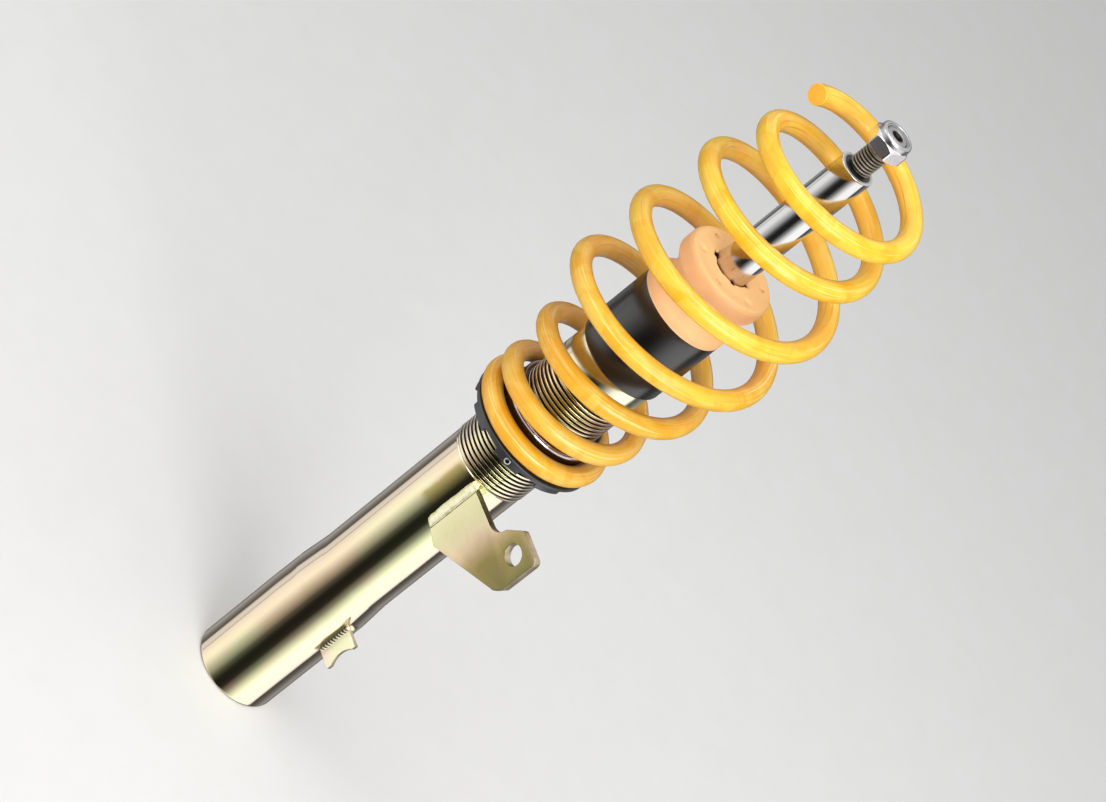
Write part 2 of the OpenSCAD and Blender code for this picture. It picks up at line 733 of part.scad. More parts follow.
seated() strut_tube();
seated() base_cap();
seated() link_bracket();
seated() bracket_weld();
seated() locating_lug();
seated() lug_weld();
seated() cylinder_tube();
seated() foot_valve();
seated() rod_guide();
seated() guide_bush();
seated() rod_seal();
seated() gland_ring();
seated() spring_collar();
seated() lock_screw();
seated() coil_spring();
seated() bump_stop();
seated() dust_sleeve();
seated() piston_rod();
seated() stop_ring();
seated() piston();
seated() piston_band();
seated() shim_stack();
seated() piston_nut();
seated() top_nut();
seated() nut_insert();
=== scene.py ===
from functools import partialmethod
from math import asin, ceil, cos, degrees, hypot, pi, radians, sin, sqrt

import bmesh
import bpy
from mathutils import Matrix, Vector, noise


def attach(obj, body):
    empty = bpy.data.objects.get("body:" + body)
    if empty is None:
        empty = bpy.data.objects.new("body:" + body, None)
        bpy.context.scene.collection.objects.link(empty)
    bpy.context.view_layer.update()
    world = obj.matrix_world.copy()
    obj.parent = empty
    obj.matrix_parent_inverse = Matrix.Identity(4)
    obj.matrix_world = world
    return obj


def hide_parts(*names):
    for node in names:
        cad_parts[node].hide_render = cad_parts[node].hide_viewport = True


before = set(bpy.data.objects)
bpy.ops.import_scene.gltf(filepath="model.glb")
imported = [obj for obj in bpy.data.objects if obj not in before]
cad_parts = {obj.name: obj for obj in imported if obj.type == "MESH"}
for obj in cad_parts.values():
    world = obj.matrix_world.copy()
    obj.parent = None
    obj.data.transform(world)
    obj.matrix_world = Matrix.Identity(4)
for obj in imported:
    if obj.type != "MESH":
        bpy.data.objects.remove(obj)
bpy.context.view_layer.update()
print("frame loaded:", len(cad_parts), "nodes")

mm = 0.001
footZ = -33  # heights below are counted from the tube's lower end, as in the part's source


class Values(dict):  # a dictionary whose entries also read as attributes
    def __getattr__(self, key):
        value = self[key]
        return Values(value) if isinstance(value, dict) else value


def setAll(thing, **settings):
    for key, value in settings.items():
        setattr(thing, key, value)
    return thing


def linked(name, data):
    thing = bpy.data.objects.new(name, data)
    bpy.context.scene.collection.objects.link(thing)
    return thing


def facing(x, y, turn):  # how far a place lies ahead and to the left of a line turned round the strut
    a = radians(turn)
    return x * cos(a) + y * sin(a), y * cos(a) - x * sin(a)


# --- camera

cameraView = {
    "place": (1.0081, -1.6877, 1.3798),
    "turn": -59,  # degrees round the strut, from +X
    "lift": 30,  # degrees above the horizon
    "roll": 38.8,  # degrees between the strut and the picture's lower edge
    "lens": 134.8,
}


def makeCamera(v):
    turn, lift, roll = radians(v.turn), radians(v.lift), radians(v.roll)
    level, upright = Vector((cos(turn), sin(turn), 0)), Vector((0, 0, 1))
    side = upright.cross(level)
    back = upright * sin(lift) + level * cos(lift)
    up = upright * cos(lift) - level * sin(lift)
    axisX = up * cos(roll) + side * sin(roll)
    axisY = up * sin(roll) - side * cos(roll)
    data = setAll(bpy.data.cameras.new("camera"), lens=v.lens, sensor_width=36, clip_end=60)
    data.dof.use_dof = False
    cam = linked("camera", data)
    cam.matrix_world = Matrix.Translation(v.place) @ Matrix((axisX, axisY, back)).transposed().to_4x4()
    bpy.context.scene.camera = cam


makeCamera(Values(cameraView))


# --- shader helpers

class Value:  # a shader socket that can stand in a sum
    def __init__(self, shading, socket):
        self.shading = shading
        self.socket = socket

    def math(self, operation, *terms):
        return self.shading.node("Math", {"operation": operation}, terms)

    def before(self, operation, other):
        return self.math(operation, self, other)

    def __rsub__(self, other):
        return self.math("SUBTRACT", other, self)

    __add__ = __radd__ = partialmethod(before, "ADD")
    __sub__ = partialmethod(before, "SUBTRACT")
    __mul__ = __rmul__ = partialmethod(before, "MULTIPLY")
    __truediv__ = partialmethod(before, "DIVIDE")
    __pow__ = partialmethod(before, "POWER")


class Shading:  # the node tree of one material, or of the world
    def __init__(self, owner):
        owner.use_nodes = True
        self.owner = owner
        self.tree = owner.node_tree
        self.tree.nodes.clear()

    def node(self, kind, settings=None, inputs=(), output=0):
        n = self.tree.nodes.new("ShaderNode" + kind)
        for key, value in (settings or {}).items():
            if key == "stops":
                band = n.color_ramp
                while len(band.elements) < len(value):
                    band.elements.new(0.5)
                for element, (place, tone) in zip(band.elements, value):
                    element.position = place
                    element.color = (*tone, 1) if isinstance(tone, tuple) else (tone, tone, tone, 1)
            elif key == "fade":
                n.color_ramp.interpolation = value
            else:
                setattr(n, key, value)
        pairs = inputs.items() if isinstance(inputs, dict) else enumerate(inputs)
        for key, value in pairs:
            if isinstance(value, Value):
                self.tree.links.new(value.socket, n.inputs[key])
            elif value is not None:
                n.inputs[key].default_value = value
        return Value(self, n.outputs[output]) if len(n.outputs) else None

    def split(self, vector):
        parts = self.node("SeparateXYZ", {}, (vector,)).socket.node
        return tuple(Value(self, socket) for socket in parts.outputs)

    def place(self):  # metres in the frame
        return self.node("TexCoord", output=3)

    def axes(self):
        return self.split(self.place())

    def height(self):
        return self.axes()[2]

    def radius(self):
        x, y, _ = self.axes()
        return (x * x + y * y) ** 0.5

    def noise(self, scale, detail=3, rough=0.6, stretch=(1, 1, 1), twist=0, where=None):
        place = self.node("VectorMath", {"operation": "MULTIPLY"}, (where or self.place(), stretch))
        return self.node("TexNoise", {}, {
            "Vector": place, "Scale": scale, "Detail": detail, "Roughness": rough, "Distortion": twist})

    def ramp(self, value, stops, fade="LINEAR"):
        return self.node("ValToRGB", {"stops": stops, "fade": fade}, (value,))

    def rise(self, value, low, high, top=1):  # from 0 at low to top at high
        return self.ramp(value, [(low, 0), (high, top)])

    def span(self, value, low, high, outLow=0, outHigh=1):  # the same with soft ends
        return self.node("MapRange", {"interpolation_type": "SMOOTHSTEP"}, {
            0: value, 1: low, 2: high, 3: outLow, 4: outHigh})

    def below(self, value, low, high):
        return self.span(value, low, high, 1, 0)

    def between(self, value, low, lowEnd, highStart, high):
        return self.span(value, low, lowEnd) * self.below(value, highStart, high)

    def mix(self, factor, a, b):
        a, b = ((*c, 1) if isinstance(c, tuple) else c for c in (a, b))
        return self.node("Mix", {"data_type": "RGBA"}, {0: factor, 6: a, 7: b}, output=2)

    def veil(self, colour, value, low, high, share, tone):  # the tone lies over the colour where the value is high
        return self.mix(self.rise(value, low, high, share), colour, tone)

    def bump(self, height, strength, distance, normal=None):
        return self.node("Bump", {}, {"Strength": strength, "Distance": distance, "Height": height, "Normal": normal})

    def surface(self, colour, rough, normal=None, metallic=0, more=None):
        shader = self.node("BsdfPrincipled", {}, {
            "Base Color": colour, "Roughness": rough, "Normal": normal, "Metallic": metallic, **(more or {})})
        self.node("OutputMaterial", {}, (shader,))
        return self.owner


def newShading(name):
    return Shading(bpy.data.materials.new(name))


# --- finishes; their lengths are in metres

tintTurn = -59  # degrees round the strut, of the line between the bracket and the heat tint
pitTurn = -58  # degrees round the rod, of the first small pit in the bump stop's face
pitR = 21.6  # mm from the rod's axis to a pit


# yellow zinc drifts between peach and yellow-green; side runs from -1 to 1 round the tube
def zincTint(s, side, height):
    drift = s.noise(26, 2, 0.5, (1, 1, 0.6), 0.6)
    turn = s.span(side + 0.1 * (drift - 0.5), -1, 1)
    places = (0, 0.05, 0.13, 0.21, 0.3, 0.5, 0.65, 0.79, 0.87, 0.94, 1)
    first, last = ((0.84, 0.74, 0.6), (0.8, 0.66, 0.5)), ((0.8, 0.68, 0.52), (0.84, 0.74, 0.62))
    peach = ((0.92, 0.76, 0.52), (0.92, 0.75, 0.51), (0.86, 0.64, 0.39), (0.78, 0.64, 0.38), (0.86, 0.66, 0.43),
        (0.9, 0.83, 0.54), (0.9, 0.84, 0.58))
    green = ((0.9, 0.82, 0.53), (0.9, 0.84, 0.53), (0.78, 0.76, 0.44), (0.7, 0.72, 0.36), (0.73, 0.76, 0.41),
        (0.87, 0.88, 0.53), (0.88, 0.86, 0.55))
    warm, cool = (s.ramp(turn, list(zip(places, first + tones + last))) for tones in (peach, green))
    second = s.noise(19, 2, 0.5, (1, 1, 0.8), 0.4)
    share = s.span(second + 0.1 * (s.span(height, 0.02, 0.14) - 0.5), 0.42, 0.58)
    return s.mix(share, warm, cool)


def tubeZinc(s):
    x, y, z = s.axes()
    fromAxis = s.radius()
    ahead, side = (c / fromAxis for c in facing(x, y, tintTurn))
    fine = s.noise(330, 4, 0.6, (1, 1, 0.04))
    speck = s.noise(1500)
    patch = s.noise(90, 4, 0.6, (1, 1, 0.6)) - 0.5
    colour = s.veil(zincTint(s, side, z), fine, 0.54, 0.78, 0.16, (0.52, 0.44, 0.28))
    # olive heat tint beside the bracket's root
    heat = s.span(z + 0.016 * patch, 0.154, 0.16) * s.below(z, 0.186, 0.19) * s.span(ahead, 0.2, 0.6)
    heat = heat * s.span(side + 0.16 * patch, -0.46, -0.36) * s.below(side, -0.13, -0.06)
    colour = s.mix(0.85 * heat, colour, (0.6, 0.48, 0.15))
    # painted reflection beside the lug's weld bead: a dark patch that stands for the lug's dark reflection in the tube
    off = (y * y) ** 0.5 + 0.0016 * patch
    paintedLugReflection = s.span(x, 0.015, 0.02) * s.between(off, 0.001, 0.0018, 0.006, 0.0072)
    paintedLugReflection = paintedLugReflection * s.between(z, 0.03, 0.033, 0.056, 0.0585)
    colour = s.mix(0.9 * paintedLugReflection, colour, (0.11, 0.095, 0.045))
    # the plain land at the top is paler and a little duller
    land = s.span(z, 0.2785, 0.279)
    colour = s.mix(0.8 * land, colour, (0.86, 0.83, 0.6))
    # painted shade darkens the thread's roots
    rootShade = s.between(z, 0.1902, 0.1908, 0.2778, 0.2784) * s.below(fromAxis, 0.02585, 0.02618)
    colour = s.mix(rootShade, colour, (0.016, 0.012, 0.008))
    rough = 0.055 + 0.04 * fine + 0.03 * speck + 0.3 * rootShade + 0.18 * heat + 0.08 * land
    return s.surface(colour, rough, s.bump(speck, 0.03, 0.0002, s.bump(fine, 0.05, 0.0003)), 1)


def plateZinc(s):
    x, _, z = s.axes()
    drift = s.noise(60, 3, 0.55) - 0.5
    fine = s.noise(330, 4, 0.6, (0.3, 1, 1))
    speck = s.noise(1500)
    # tints from the weld outwards, partly the plating's own colour and partly painted reflection that darkens the plate
    # to olive away from the weld; the lug lies before the first
    run = x + 0.012 * drift + 0.04 * (z - 0.18)
    tint = s.ramp(s.node("MapRange", {}, {0: run, 1: 0.02, 2: 0.082}), [
        (0, (0.84, 0.8, 0.47)), (0.2, (0.77, 0.72, 0.42)), (0.34, (0.79, 0.66, 0.42)), (0.42, (0.76, 0.58, 0.38)),
        (0.5, (0.62, 0.46, 0.29)), (0.58, (0.46, 0.35, 0.16)), (0.68, (0.32, 0.26, 0.09)), (1, (0.26, 0.22, 0.085))])
    upper = s.span(z + 0.006 * drift, 0.2025, 0.212) * s.span(x, 0.056, 0.062)
    tint = s.mix(0.6 * upper, tint, (0.56, 0.42, 0.25))
    # painted light: the lug gets a paler, less metallic finish so that it shows lighter than the plate
    onLug = s.below(z, 0.08, 0.09)
    paintedLugLight = s.mix(s.span(z + 0.5 * x, 0.0505, 0.056), (0.98, 0.82, 0.64), (0.97, 0.94, 0.62))
    tint = s.veil(s.mix(onLug, tint, paintedLugLight), fine, 0.54, 0.78, 0.14, (0.46, 0.38, 0.22))
    normal = s.bump(speck, 0.05, 0.0002, s.bump(fine, 0.06, 0.0003))
    return s.surface(tint, 0.2 + 0.07 * fine + 0.05 * speck, normal, 0.9 - 0.65 * onLug)


def edgeZinc(s):  # the cut edges of both plates are plainer and brighter, with painted shade darkening them in the bracket's throat
    x, _, z = s.axes()
    cut = s.noise(420, 3, 0.6, (1, 0.1, 1))
    broad = s.noise(110)
    tint = s.veil((0.58, 0.5, 0.36), broad, 0.4, 0.65, 1, (0.45, 0.37, 0.25))
    throatShade = s.below(x + 0.01 * (broad - 0.5), 0.042, 0.056) * s.span(z, 0.15, 0.17)
    tint = s.mix(0.92 * throatShade, tint, (0.1, 0.075, 0.035))
    tint = s.veil(tint, cut, 0.5, 0.72, 0.4, (0.36, 0.28, 0.16))
    return s.surface(tint, 0.26 + 0.12 * cut, s.bump(cut, 0.12, 0.0003), 0.85)


def weldZinc(s):
    x, y, z = s.axes()
    lumps = s.noise(420)
    speck = s.noise(1600)
    colour = s.veil((0.9, 0.83, 0.53), lumps, 0.35, 0.7, 1, (1, 0.97, 0.72))
    colour = s.veil(colour, s.noise(130), 0.56, 0.74, 0.65, (0.34, 0.24, 0.1))
    # painted shade in the groove between the bracket's face and the bead
    grooveShade = s.between(x, 0.0214, 0.0218, 0.0229, 0.0232) * s.span(z, 0.14, 0.145) * s.span(y, -0.02275, -0.0223)
    colour = s.mix(0.95 * grooveShade, colour, (0.02, 0.016, 0.01))
    normal = s.bump(speck, 0.1, 0.0002, s.bump(lumps, 0.3, 0.0005))
    return s.surface(colour, 0.26 + 0.14 * lumps + 0.08 * speck, normal, 0.6)


def plainSteel(name, tone, rough=0.3, streak=(1, 1, 0.1), metallic=1, depth=0.15):
    s = newShading(name)
    fine = s.noise(300, 4, 0.6, streak)
    darker = tuple(c * 0.75 for c in tone)
    colour = s.veil(tone, fine, 0.4, 0.7, 0.4, darker)
    colour = s.veil(colour, s.noise(30, 2, 0.5), 0.4, 0.7, 0.25, darker)
    return s.surface(colour, rough + 0.1 * fine, s.bump(fine, depth, 0.0003), metallic)


def shankSteel(s):
    fromAxis = s.radius()
    fine = s.noise(500, 4)
    colour = s.veil((0.34, 0.31, 0.25), s.noise(110), 0.4, 0.7, 0.8, (0.22, 0.19, 0.14))
    end = s.span(s.height(), 0.5028, 0.50335)
    # painted shade: the socket in the top end is nearly black
    hole = s.below(fromAxis, 0.0035, 0.004)
    colour = s.mix(end, colour, s.mix(hole, (0.34, 0.34, 0.335), (0.02, 0.02, 0.02)))
    # painted shade in the thread's roots
    rootShade = s.below(fromAxis, 0.0061, 0.00672) * (1 - end)
    colour = s.mix(rootShade, colour, (0.02, 0.017, 0.013))
    return s.surface(colour, 0.3 + 0.14 * fine + 0.2 * rootShade, s.bump(fine, 0.15, 0.0002), 0.8)


def shoulderSteel(s):
    rings = s.noise(700, 3, 0.5)
    broad = s.noise(90, 3, 0.5)
    colour = s.veil((0.46, 0.46, 0.47), broad, 0.4, 0.7, 0.6, (0.36, 0.36, 0.37))
    # painted shade in a ring round the shank's root
    recessShade = s.below(s.radius() + 0.0008 * (broad - 0.5), 0.0086, 0.0093)
    colour = s.mix(recessShade, colour, (0.035, 0.03, 0.028))
    return s.surface(colour, 0.36 + 0.1 * rings, s.bump(rings, 0.1, 0.0002), 0.55)


def blackCoat(name, tone, rough, grain=900, gloss=0.5, wear=0.6):
    s = newShading(name)
    grainy = s.noise(grain)
    worn = s.noise(60, 4)
    colour = s.veil(tone, worn, 0.42, 0.75, wear, tuple(c * 1.7 + 0.003 for c in tone))
    return s.surface(colour, rough + 0.06 * grainy + 0.05 * worn, s.bump(grainy, 0.12, 0.0003), 0,
        {"Specular IOR Level": gloss})


def collarBlack(s):
    z = s.height()
    grainy = s.noise(900)
    # the neck is polished, the rest satin, and a painted highlight lightens the step's rim
    polished = s.span(z, 0.2262, 0.2266) * s.below(s.radius(), 0.0328, 0.0334)
    # painted highlight on the rounded rim of the neck's step
    rim = s.between(z, 0.239, 0.2398, 0.2409, 0.2411)
    satin = s.veil((0.022, 0.023, 0.026), s.noise(70, 4), 0.42, 0.75, 0.7, (0.036, 0.037, 0.041))
    colour = s.mix(polished, satin, s.mix(rim, (0.16, 0.135, 0.14), (0.6, 0.56, 0.6)))
    return s.surface(colour, 0.3 + 0.08 * grainy - 0.24 * polished, s.bump(grainy, 0.05, 0.0002), polished,
        {"Specular IOR Level": 0.8})


def springPaint(s):
    height = s.span(s.height(), 0.23, 0.47)
    blotch = s.noise(34, twist=1.2)
    second = s.noise(80)
    speck = s.noise(700)
    run = s.node("Attribute", {"attribute_name": "wireRun"}, output=1)
    outwards, upwards, _ = s.split(run)  # across the wire; the third part runs along it
    streak = s.noise(1100, 3, 0.6, (1, 1, 0.02), where=run)
    band = s.noise(260, 2, 0.5, (1, 1, 0.1), where=run)
    # painted light: both paints turn lighter and more lemon towards the top, where more light falls
    orange = s.mix(height, (0.86, 0.395, 0.01), (0.91, 0.47, 0.003))
    lemon = s.mix(height, (0.89, 0.5, 0.055), (0.93, 0.585, 0.03))
    deep = s.mix(height, (0.9, 0.46, 0.005), (0.93, 0.54, 0.003))
    colour = s.mix(s.ramp(blotch, [(0.42, 0), (0.58, 1)], "EASE"), lemon, orange)
    colour = s.veil(colour, second, 0.54, 0.66, 0.5, deep)
    # painted shade: the side that faces the strut is duller and less saturated
    inner = s.below(outwards + 0.002 * (second - 0.5), -0.0052, -0.0005)
    colour = s.mix(0.35 * inner, colour, s.mix(height, (0.8, 0.43, 0.14), (0.92, 0.5, 0.11)))
    # painted shade, darker still, on the lower part of that side
    underShade = inner * s.below(upwards, -0.0032, 0.0004)
    colour = s.mix(0.4 * underShade, colour, (0.38, 0.2, 0.07))
    lines = s.rise(streak, 0.55, 0.64) * (s.rise(band, 0.46, 0.56, 0.42) + 0.3 * inner)
    colour = s.mix(lines, colour, (0.5, 0.23, 0.04))
    # painted highlight: pale streaks on the upper, outer side of the wire
    paintedGleam = s.ramp(streak, [(0.38, 1), (0.47, 0)]) * s.ramp(band, [(0.4, 0.65), (0.54, 0.12)])
    paintedGleam = paintedGleam * s.span(upwards, -0.001, 0.003) * s.span(outwards, -0.004, 0.001)
    colour = s.mix(paintedGleam, colour, (1, 0.82, 0.34))
    normal = s.bump(streak, 0.06, 0.0002, s.bump(s.noise(220, 2, 0.5), 0.05, 0.0006))
    return s.surface(colour, 0.24 + 0.1 * speck + 0.06 * blotch + 0.08 * streak, normal, 0,
        {"Coat Weight": 0.28, "Coat Roughness": 0.14})


def springEndPaint(s):
    speck = s.noise(900)
    colour = s.veil((0.8, 0.385, 0.024), s.noise(160), 0.38, 0.66, 1, (0.84, 0.43, 0.028))
    return s.surface(colour, 0.4 + 0.12 * speck, s.bump(speck, 0.1, 0.0002))


def foamSkin(s):
    x, y, z = s.axes()
    cell = s.noise(1800, 4, 0.7)
    colour = s.veil((1, 0.6, 0.29), s.noise(38, 3, 0.5), 0.35, 0.7, 0.7, (0.98, 0.51, 0.22))
    colour = s.veil(colour, s.noise(95, 3, 0.5), 0.5, 0.72, 0.35, (1, 0.46, 0.22))
    # painted light: the top face is lighter and yellower than the sides
    face = s.span(z, 0.3802, 0.3816)
    colour = s.mix(0.7 * face, colour, (1, 0.67, 0.3))
    colour = s.mix(s.ramp(cell, [(0.35, 0.2), (0.6, 0)]), colour, (0.82, 0.36, 0.14))
    # painted shade: the bore just under the top face is nearly black
    bore = s.below(z, 0.3804, 0.3811) * s.below(s.radius(), 0.013, 0.0136)
    colour = s.mix(bore, colour, (0.06, 0.016, 0.008))
    for i in range(3):  # painted shade darkens the small pits
        a = radians(pitTurn + 120 * i)
        across = ((x - pitR * mm * cos(a)) ** 2 + (y - pitR * mm * sin(a)) ** 2) ** 0.5
        colour = s.mix(0.92 * face * s.below(across, 0.0009, 0.0021), colour, (0.48, 0.21, 0.08))
    return s.surface(colour, 0.55 + 0.15 * cell, s.bump(cell, 0.14, 0.0003), 0,
        {"Subsurface Weight": 0.1, "Subsurface Radius": (0.004, 0.002, 0.001)})


def rodChrome(s):
    fine = s.noise(500, 3, 0.6, (1, 1, 0.05))
    smear = s.noise(45, 3, 0.6, (1, 1, 0.4))
    colour = s.veil((0.66, 0.655, 0.65), smear, 0.4, 0.7, 0.4, (0.56, 0.55, 0.54))
    paintedFoamReflection = s.below(s.height() + 0.006 * (smear - 0.5), 0.3835, 0.396)  # painted reflection of the foam on the rod just above it
    colour = s.mix(0.55 * paintedFoamReflection, colour, (0.58, 0.4, 0.3))
    return s.surface(colour, 0.045 + 0.04 * smear + 0.02 * fine + 0.16 * paintedFoamReflection, s.bump(fine, 0.02, 0.0002), 1)


def nutZinc(s):
    fine = s.noise(420, 4)
    colour = s.veil((0.84, 0.82, 0.83), s.noise(120), 0.38, 0.68, 0.7, (0.72, 0.68, 0.72))
    crown = s.span(s.height(), 0.5014, 0.5022)  # the crimped collar is duller than the hexagon
    colour = s.mix(crown, colour, (0.5, 0.5, 0.51))
    return s.surface(colour, 0.13 + 0.09 * fine + 0.12 * crown, s.bump(fine, 0.06, 0.0002), 1)


def made(finish):
    return finish(newShading(finish.__name__))


finishes = {
    "tube_gold": made(tubeZinc),
    "plate_gold": made(plateZinc),
    "plate_edge": made(edgeZinc),
    "weld_gold": made(weldZinc),
    # painted shade for the valleys of the lug's weld beads
    "weld_valley_shade": blackCoat("weldValleyShade", (0.035, 0.028, 0.016), 0.45),
    "zinc_plate": plainSteel("zincPlate", (0.62, 0.6, 0.56), 0.28),
    "bare_steel": plainSteel("bareSteel", (0.5, 0.5, 0.5), 0.25),
    "bush_bronze": plainSteel("bushBronze", (0.45, 0.3, 0.13), 0.35),
    "seal_rubber": blackCoat("sealRubber", (0.02, 0.02, 0.02), 0.5),
    "collar_black": made(collarBlack),
    "screw_steel": plainSteel("screwSteel", (0.66, 0.64, 0.58), 0.3, (1, 1, 1), 0.35, 0.05),
    # painted shade for the inside of the screw's socket
    "screw_socket_shade": blackCoat("screwSocketShade", (0.01, 0.01, 0.01), 0.5),
    "spring_yellow": made(springPaint),
    "spring_end": made(springEndPaint),
    "foam_peach": made(foamSkin),
    "sleeve_black": blackCoat("sleeveBlack", (0.0065, 0.006, 0.006), 0.19, 500, 0.85, 0.5),
    "rod_chrome": made(rodChrome),
    "shank_steel": made(shankSteel),
    "shoulder_steel": made(shoulderSteel),
    "band_plastic": blackCoat("bandPlastic", (0.1, 0.07, 0.04), 0.5),
    "nut_zinc": made(nutZinc),
    "nut_nylon": blackCoat("nutNylon", (0.25, 0.255, 0.255), 0.4),
}
finishNodes = {
    "tube_gold": "strut_tube", "plate_gold": "link_bracket locating_lug", "weld_gold": "base_cap bracket_weld lug_weld",
    "bare_steel": "cylinder_tube foot_valve rod_guide stop_ring piston shim_stack",
    "zinc_plate": "gland_ring piston_nut", "bush_bronze": "guide_bush", "seal_rubber": "rod_seal",
    "collar_black": "spring_collar", "screw_steel": "lock_screw", "spring_yellow": "coil_spring",
    "foam_peach": "bump_stop", "sleeve_black": "dust_sleeve", "rod_chrome": "piston_rod",
    "band_plastic": "piston_band", "nut_zinc": "top_nut", "nut_nylon": "nut_insert",
}
for finish, nodeNames in finishNodes.items():
    for nodeName in nodeNames.split():
        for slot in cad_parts[nodeName].material_slots:
            slot.material = finishes[finish]
print("finishes made:", len(finishes))


# --- mesh helpers

def evaluated(thing):  # a mesh of the object, with its curve or modifiers made real
    return bpy.data.meshes.new_from_object(thing.evaluated_get(bpy.context.evaluated_depsgraph_get()))


def remade(mesh, work):
    b = bmesh.new()
    b.from_mesh(mesh)
    work(b)
    bmesh.ops.recalc_face_normals(b, faces=b.faces)
    b.to_mesh(mesh)
    b.free()


def shadeSmooth(mesh, sharp):
    mesh.polygons.foreach_set("use_smooth", [True] * len(mesh.polygons))
    mesh.set_sharp_from_angle(angle=radians(sharp))


def dress(piece, body, finish, sharp):
    mesh = piece.data
    mesh.validate()
    shadeSmooth(mesh, sharp)
    mesh.materials.clear()
    mesh.materials.append(finishes[finish])
    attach(piece, body)
    return piece


def addPiece(name, verts, faces, body, finish, sharp=40, slotName=None, runs=()):
    mesh = bpy.data.meshes.new(name)
    mesh.from_pydata([Vector((x, y, z + footZ)) * mm for x, y, z in verts], [], faces)
    if runs:
        layer = mesh.attributes.new("wireRun", "FLOAT_VECTOR", "POINT")
        layer.data.foreach_set("vector", [c * mm for run in runs for c in run])

    def weld(b):
        bmesh.ops.remove_doubles(b, verts=b.verts, dist=0.001 * mm)
        bmesh.ops.delete(b, geom=[e for e in b.edges if not e.link_faces], context="EDGES")

    remade(mesh, weld)
    return dress(linked(name, mesh), body, finish, sharp)


def markFaces(piece, finish, test):  # a second finish for the faces that pass the test
    piece.data.materials.append(finishes[finish])
    for p in piece.data.polygons:
        p.material_index = int(test(p))


def around(k, columns):
    return 2 * pi * k / columns


def polar(a, r, z):
    return r * cos(a), r * sin(a), z


def ring(columns, r, z, shape=None):  # one round of points; shape may change its radius and height
    angles = [around(k, columns) for k in range(columns)]
    return [polar(a, *(shape(a, r, z) if shape else (r, z))) for a in angles]


def stack(count, columns, start=0, closed=False):  # faces between rounds of points
    faces = []
    for i in range(count if closed else count - 1):
        j = (i + 1) % count
        for k in range(columns):
            m = (k + 1) % columns
            corners = (i * columns + k, i * columns + m, j * columns + m, j * columns + k)
            faces.append(tuple(start + c for c in corners))
    return faces


def capped(count, columns):
    last = (count - 1) * columns
    return [*stack(count, columns), tuple(reversed(range(columns))), tuple(range(last, last + columns))]


def turned(profile, columns, shape=None, closed=True, start=0):
    verts = [p for r, z in profile for p in ring(columns, r, z, shape)]
    return verts, stack(len(profile), columns, start, closed)


def arc(cx, cy, r, first, last, steps):
    angles = [radians(first + (last - first) * i / steps) for i in range(steps + 1)]
    return [(cx + r * cos(a), cy + r * sin(a)) for a in angles]


def straight(r0, z0, r1, z1, steps):
    return [(r0 + (r1 - r0) * i / steps, z0 + (z1 - z0) * i / steps) for i in range(1, steps + 1)]


def smooth(t):
    t = min(max(t, 0), 1)
    return t * t * (3 - 2 * t)


def hexed(a, r):  # how far the flat of a hexagon is from its middle in one direction
    return r / cos((a + pi / 6) % (pi / 3) - pi / 6)


def windThread(v, columns, start):  # a right-handed thread whose ends fade into the rounds beside it
    steps = len(v.form)
    base = v.rootZ + v.pitch * ((v.low - v.rootZ) // v.pitch - 2)
    rows = (ceil((v.high - v.low) / v.pitch) + 5) * steps
    verts = []
    for j in range(rows):
        share, cut = v.form[j % steps]
        for k in range(columns):
            z = min(max(base + v.pitch * (j // steps + share + k / columns), v.low), v.high)
            fadeIn, fadeOut = smooth((z - v.low) / v.fade), (v.high - z) / v.fade
            r = v.lowR + (v.crest - v.lowR) * fadeIn - (v.crest - v.highR) * smooth(1 - fadeOut)
            verts.append(polar(around(k, columns), r - v.depth * cut * fadeIn * smooth(fadeOut), z))
    faces = [(p, p + 1, p + columns + 1, p + columns)
        for p in (j * columns + k for j in range(rows - 1) for k in range(columns - 1))]
    for j in range(rows - 1 - steps):
        a, b = j * columns + columns - 1, (j + steps) * columns
        faces.append((a, b, b + columns, a + columns))
    return verts, [tuple(start + c for c in f) for f in faces]


def threaded(low, thread, high, columns, shape=None):  # a thread between the rounds low and high
    verts, faces = turned(low, columns, None, False)
    wound, woundFaces = windThread(thread, columns, len(verts))
    verts += wound
    more, moreFaces = turned(high, columns, shape, False, len(verts))
    return verts + more, faces + woundFaces + moreFaces


def catmull(rows, t, column):
    n = len(rows) - 1
    i = min(max(int(t), 0), n - 1)
    f = t - i
    p0, p1 = rows[max(i - 1, 0)][column], rows[i][column]
    p2, p3 = rows[i + 1][column], rows[min(i + 2, n)][column]
    return (p1 + f * (p2 - p0) / 2 + f * f * (2 * p0 - 5 * p1 + 4 * p2 - p3) / 2
        + f ** 3 * (3 * p1 - p0 - 3 * p2 + p3) / 2)


def eased(rows, steps, z):  # a smooth profile through rows of height over z and radius
    shares = [i / steps for i in range((len(rows) - 1) * steps + 1)]
    return [(catmull(rows, t, 1), z + catmull(rows, t, 0)) for t in shares]


# --- strut tube

tube = {
    "foot": 27.5, "upperFoot": 27.2, "body": 25.75, "land": 26.1, "footIn": 25, "bodyIn": 23.25,  # radii
    "clampTop": 62, "easedTop": 82, "swageLow": 87, "swageHigh": 108, "top": 332,  # heights
    "columns": 192,
    "thread": {
        "low": 222.3, "high": 311.7, "pitch": 3, "rootZ": 224.03, "crest": 26.25, "lowR": 25.75, "highR": 26.1,
        "depth": 0.9, "fade": 1.3,
        "form": [(0, 1), (0.16, 1), (0.21, 0.84), (0.28, 0.4), (0.325, 0.12), (0.36, 0.03), (0.57, 0),
            (0.78, 0.03), (0.815, 0.12), (0.86, 0.4), (0.93, 0.84)],
    },
}


